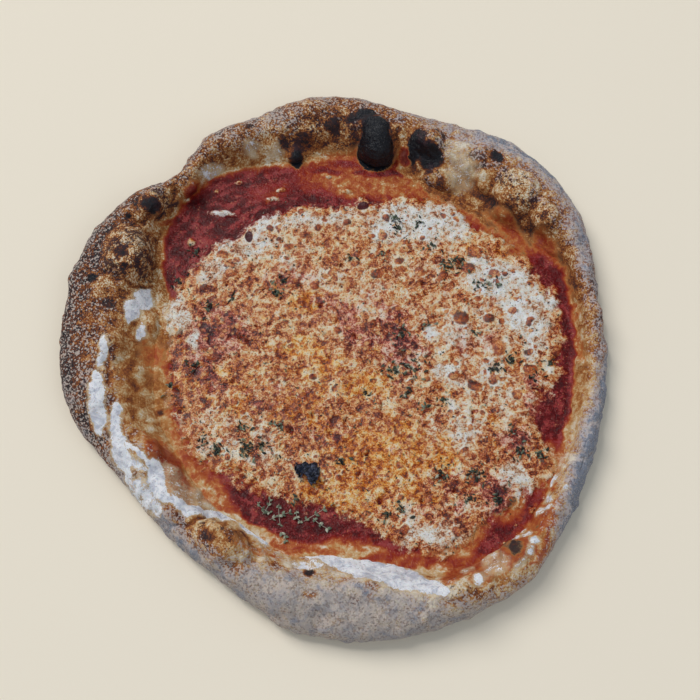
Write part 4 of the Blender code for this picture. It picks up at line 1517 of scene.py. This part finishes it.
def build_sprigs(material):
    """Bits of thyme on the lower sauce: thin pale stalks with pairs of tiny leaves."""
    rng = np.random.default_rng(29)
    heap = Heap()
    for start, end in SPRIGS:
        share = np.linspace(0, 1, 6)
        x = start[0] + (end[0] - start[0]) * share
        y = start[1] + (end[1] - start[1]) * share
        bend = rng.uniform(-1.2, 1.2) * np.sin(np.pi * share)
        z = top_height(x, y) + 0.35 + 0.6 * np.sin(np.pi * share)
        points, faces = stem(np.column_stack([x + bend, y + 0.4 * bend, z]), 0.13)
        heap.add(points, faces, 1.1)
        heading = math.atan2(end[1] - start[1], end[0] - start[0])
        for k in range(6):
            at = (0.12, 0.12, 0.55, 0.55, 0.95, 1.0)[k]
            length = rng.uniform(1.7, 2.9)
            leaf, leaf_faces = leaf_blade(length, length * rng.uniform(0.55, 0.8), rng.uniform(-0.2, 0.5), 5)
            leaf[:, 0] += length * 0.45
            way = heading + (1 if k % 2 else -1) * rng.uniform(0.5, 1.3)
            leaf = turned(leaf, way, rng.normal(-0.2, 0.25), rng.normal(0, 0.4))
            place = np.array([np.interp(at, share, x + bend), np.interp(at, share, y + 0.4 * bend), np.interp(at, share, z)])
            heap.add(leaf + place, leaf_faces, rng.uniform(0.62, 1.0))
    heap.build("thyme_sprigs", material)


herb_material = herb_look()
build_herbs(herb_material)
build_sprigs(herb_material)


def build_burnt_leaf():
    """The burnt basil leaf: a crumpled, curled blade in the place of its CAD solid."""
    low, high = (np.array(corner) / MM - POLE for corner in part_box("charred_basil_leaf"))
    centre = (low + high) / 2
    length = (high - low)[0]
    steps_long, steps_wide = 70, 44
    along, across = np.meshgrid(np.linspace(-1, 1, steps_long), np.linspace(-1, 1, steps_wide), indexing="ij")
    lobes = 3.0 + 3.0 * smoothstep(along, -0.45, 0.35) + 1.6 * np.exp(-((along + 0.6) / 0.25) ** 2)
    half = lobes * np.sqrt(np.clip(1 - along**6, 0, None))
    u = along * length / 2 * 0.92
    v = across * half - 2.2 * smoothstep(along, -0.5, 0.6)
    places = flat_points(u, v)
    u = u + 1.5 * noise(places, 3.4, 93) + 0.8 * noise(places, 1.6, 96)
    v = v + 1.7 * noise(places, 3.0, 94) + 0.8 * noise(places, 1.6, 97)
    crumple = 1 - np.abs(noise(places, 4.6, 91))
    lift = 2.8 * crumple**2 + 1.3 * np.abs(noise(places, 2.0, 92)) + 0.4 * across**2
    x = centre[0] + u
    y = centre[1] + v + 1.5
    ground = top_height(x.ravel(), y.ravel()).reshape(x.shape)
    z = 0.4 * ground + 0.6 * ground.max() - 0.6 + lift
    top = flat_points(x, y, z)
    bottom = top - np.array([0, 0, 0.45])
    points = np.concatenate([top.reshape(-1, 3), bottom.reshape(-1, 3)])
    number = np.arange(steps_long * steps_wide).reshape(steps_long, steps_wide)
    quads = np.stack([number[:-1, :-1], number[1:, :-1], number[1:, 1:], number[:-1, 1:]], -1).reshape(-1, 4)
    count = steps_long * steps_wide
    faces = quads.tolist() + (quads[:, ::-1] + count).tolist()
    border = np.concatenate([number[:-1, 0], number[-1, :-1], number[:0:-1, -1], number[0, :0:-1]])
    for j in range(len(border)):
        a, b = int(border[j]), int(border[(j + 1) % len(border)])
        faces.append((b, a, a + count, b + count))
    piece = add_mesh("burnt_basil_leaf", points, faces, leaf_look())
    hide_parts("charred_basil_leaf")


build_burnt_leaf()

# ---------------------------------------------------------------------------------------------- stage


def build_stage():
    """A plain pale floor, soft studio light and the camera."""
    look = Look("studio_floor")
    bpy.ops.mesh.primitive_plane_add(size=8)
    floor = bpy.context.object
    floor.name = "studio_floor"
    floor.data.materials.append(look.finish(srgb(238, 229, 212, 0.95), 0.9))

    world = bpy.data.worlds.new("studio")
    bpy.context.scene.world = world
    world.use_nodes = True
    world.node_tree.nodes["Background"].inputs["Color"].default_value = (0.86, 0.93, 1.0, 1.0)
    world.node_tree.nodes["Background"].inputs["Strength"].default_value = 0.36

    def area(name, place, size, power, colour):
        data = bpy.data.lights.new(name, "AREA")
        data.shape = "DISK"
        data.size = size
        data.energy = power
        data.color = colour
        lamp = bpy.data.objects.new(name, data)
        lamp.location = place
        lamp.rotation_euler = (-Vector(place)).to_track_quat("-Z", "Y").to_euler()
        bpy.context.collection.objects.link(lamp)

    area("key", (-3.45, 3.3, 5.1), 3.8, 252, (1.0, 0.97, 0.93))
    area("spark", (-0.9, 0.8, 3.0), 0.5, 12, (1.0, 0.98, 0.95))
    area("fill", (2.0, -1.6, 2.6), 2.4, 13, (0.93, 0.97, 1.0))

    aim = Vector(np.array(CAMERA_AIM) + POLE) * MM
    rise = math.radians(CAMERA_ELEVATION)
    camera_data = bpy.data.cameras.new("camera")
    camera_data.lens = CAMERA_LENS
    camera = bpy.data.objects.new("camera", camera_data)
    camera.location = aim + CAMERA_DISTANCE * MM * Vector((0, -math.cos(rise), math.sin(rise)))
    camera.rotation_euler = (math.radians(90 - CAMERA_ELEVATION), 0, 0)
    bpy.context.collection.objects.link(camera)
    bpy.context.scene.camera = camera
    bpy.context.scene.view_settings.view_transform = "Standard"


build_stage()
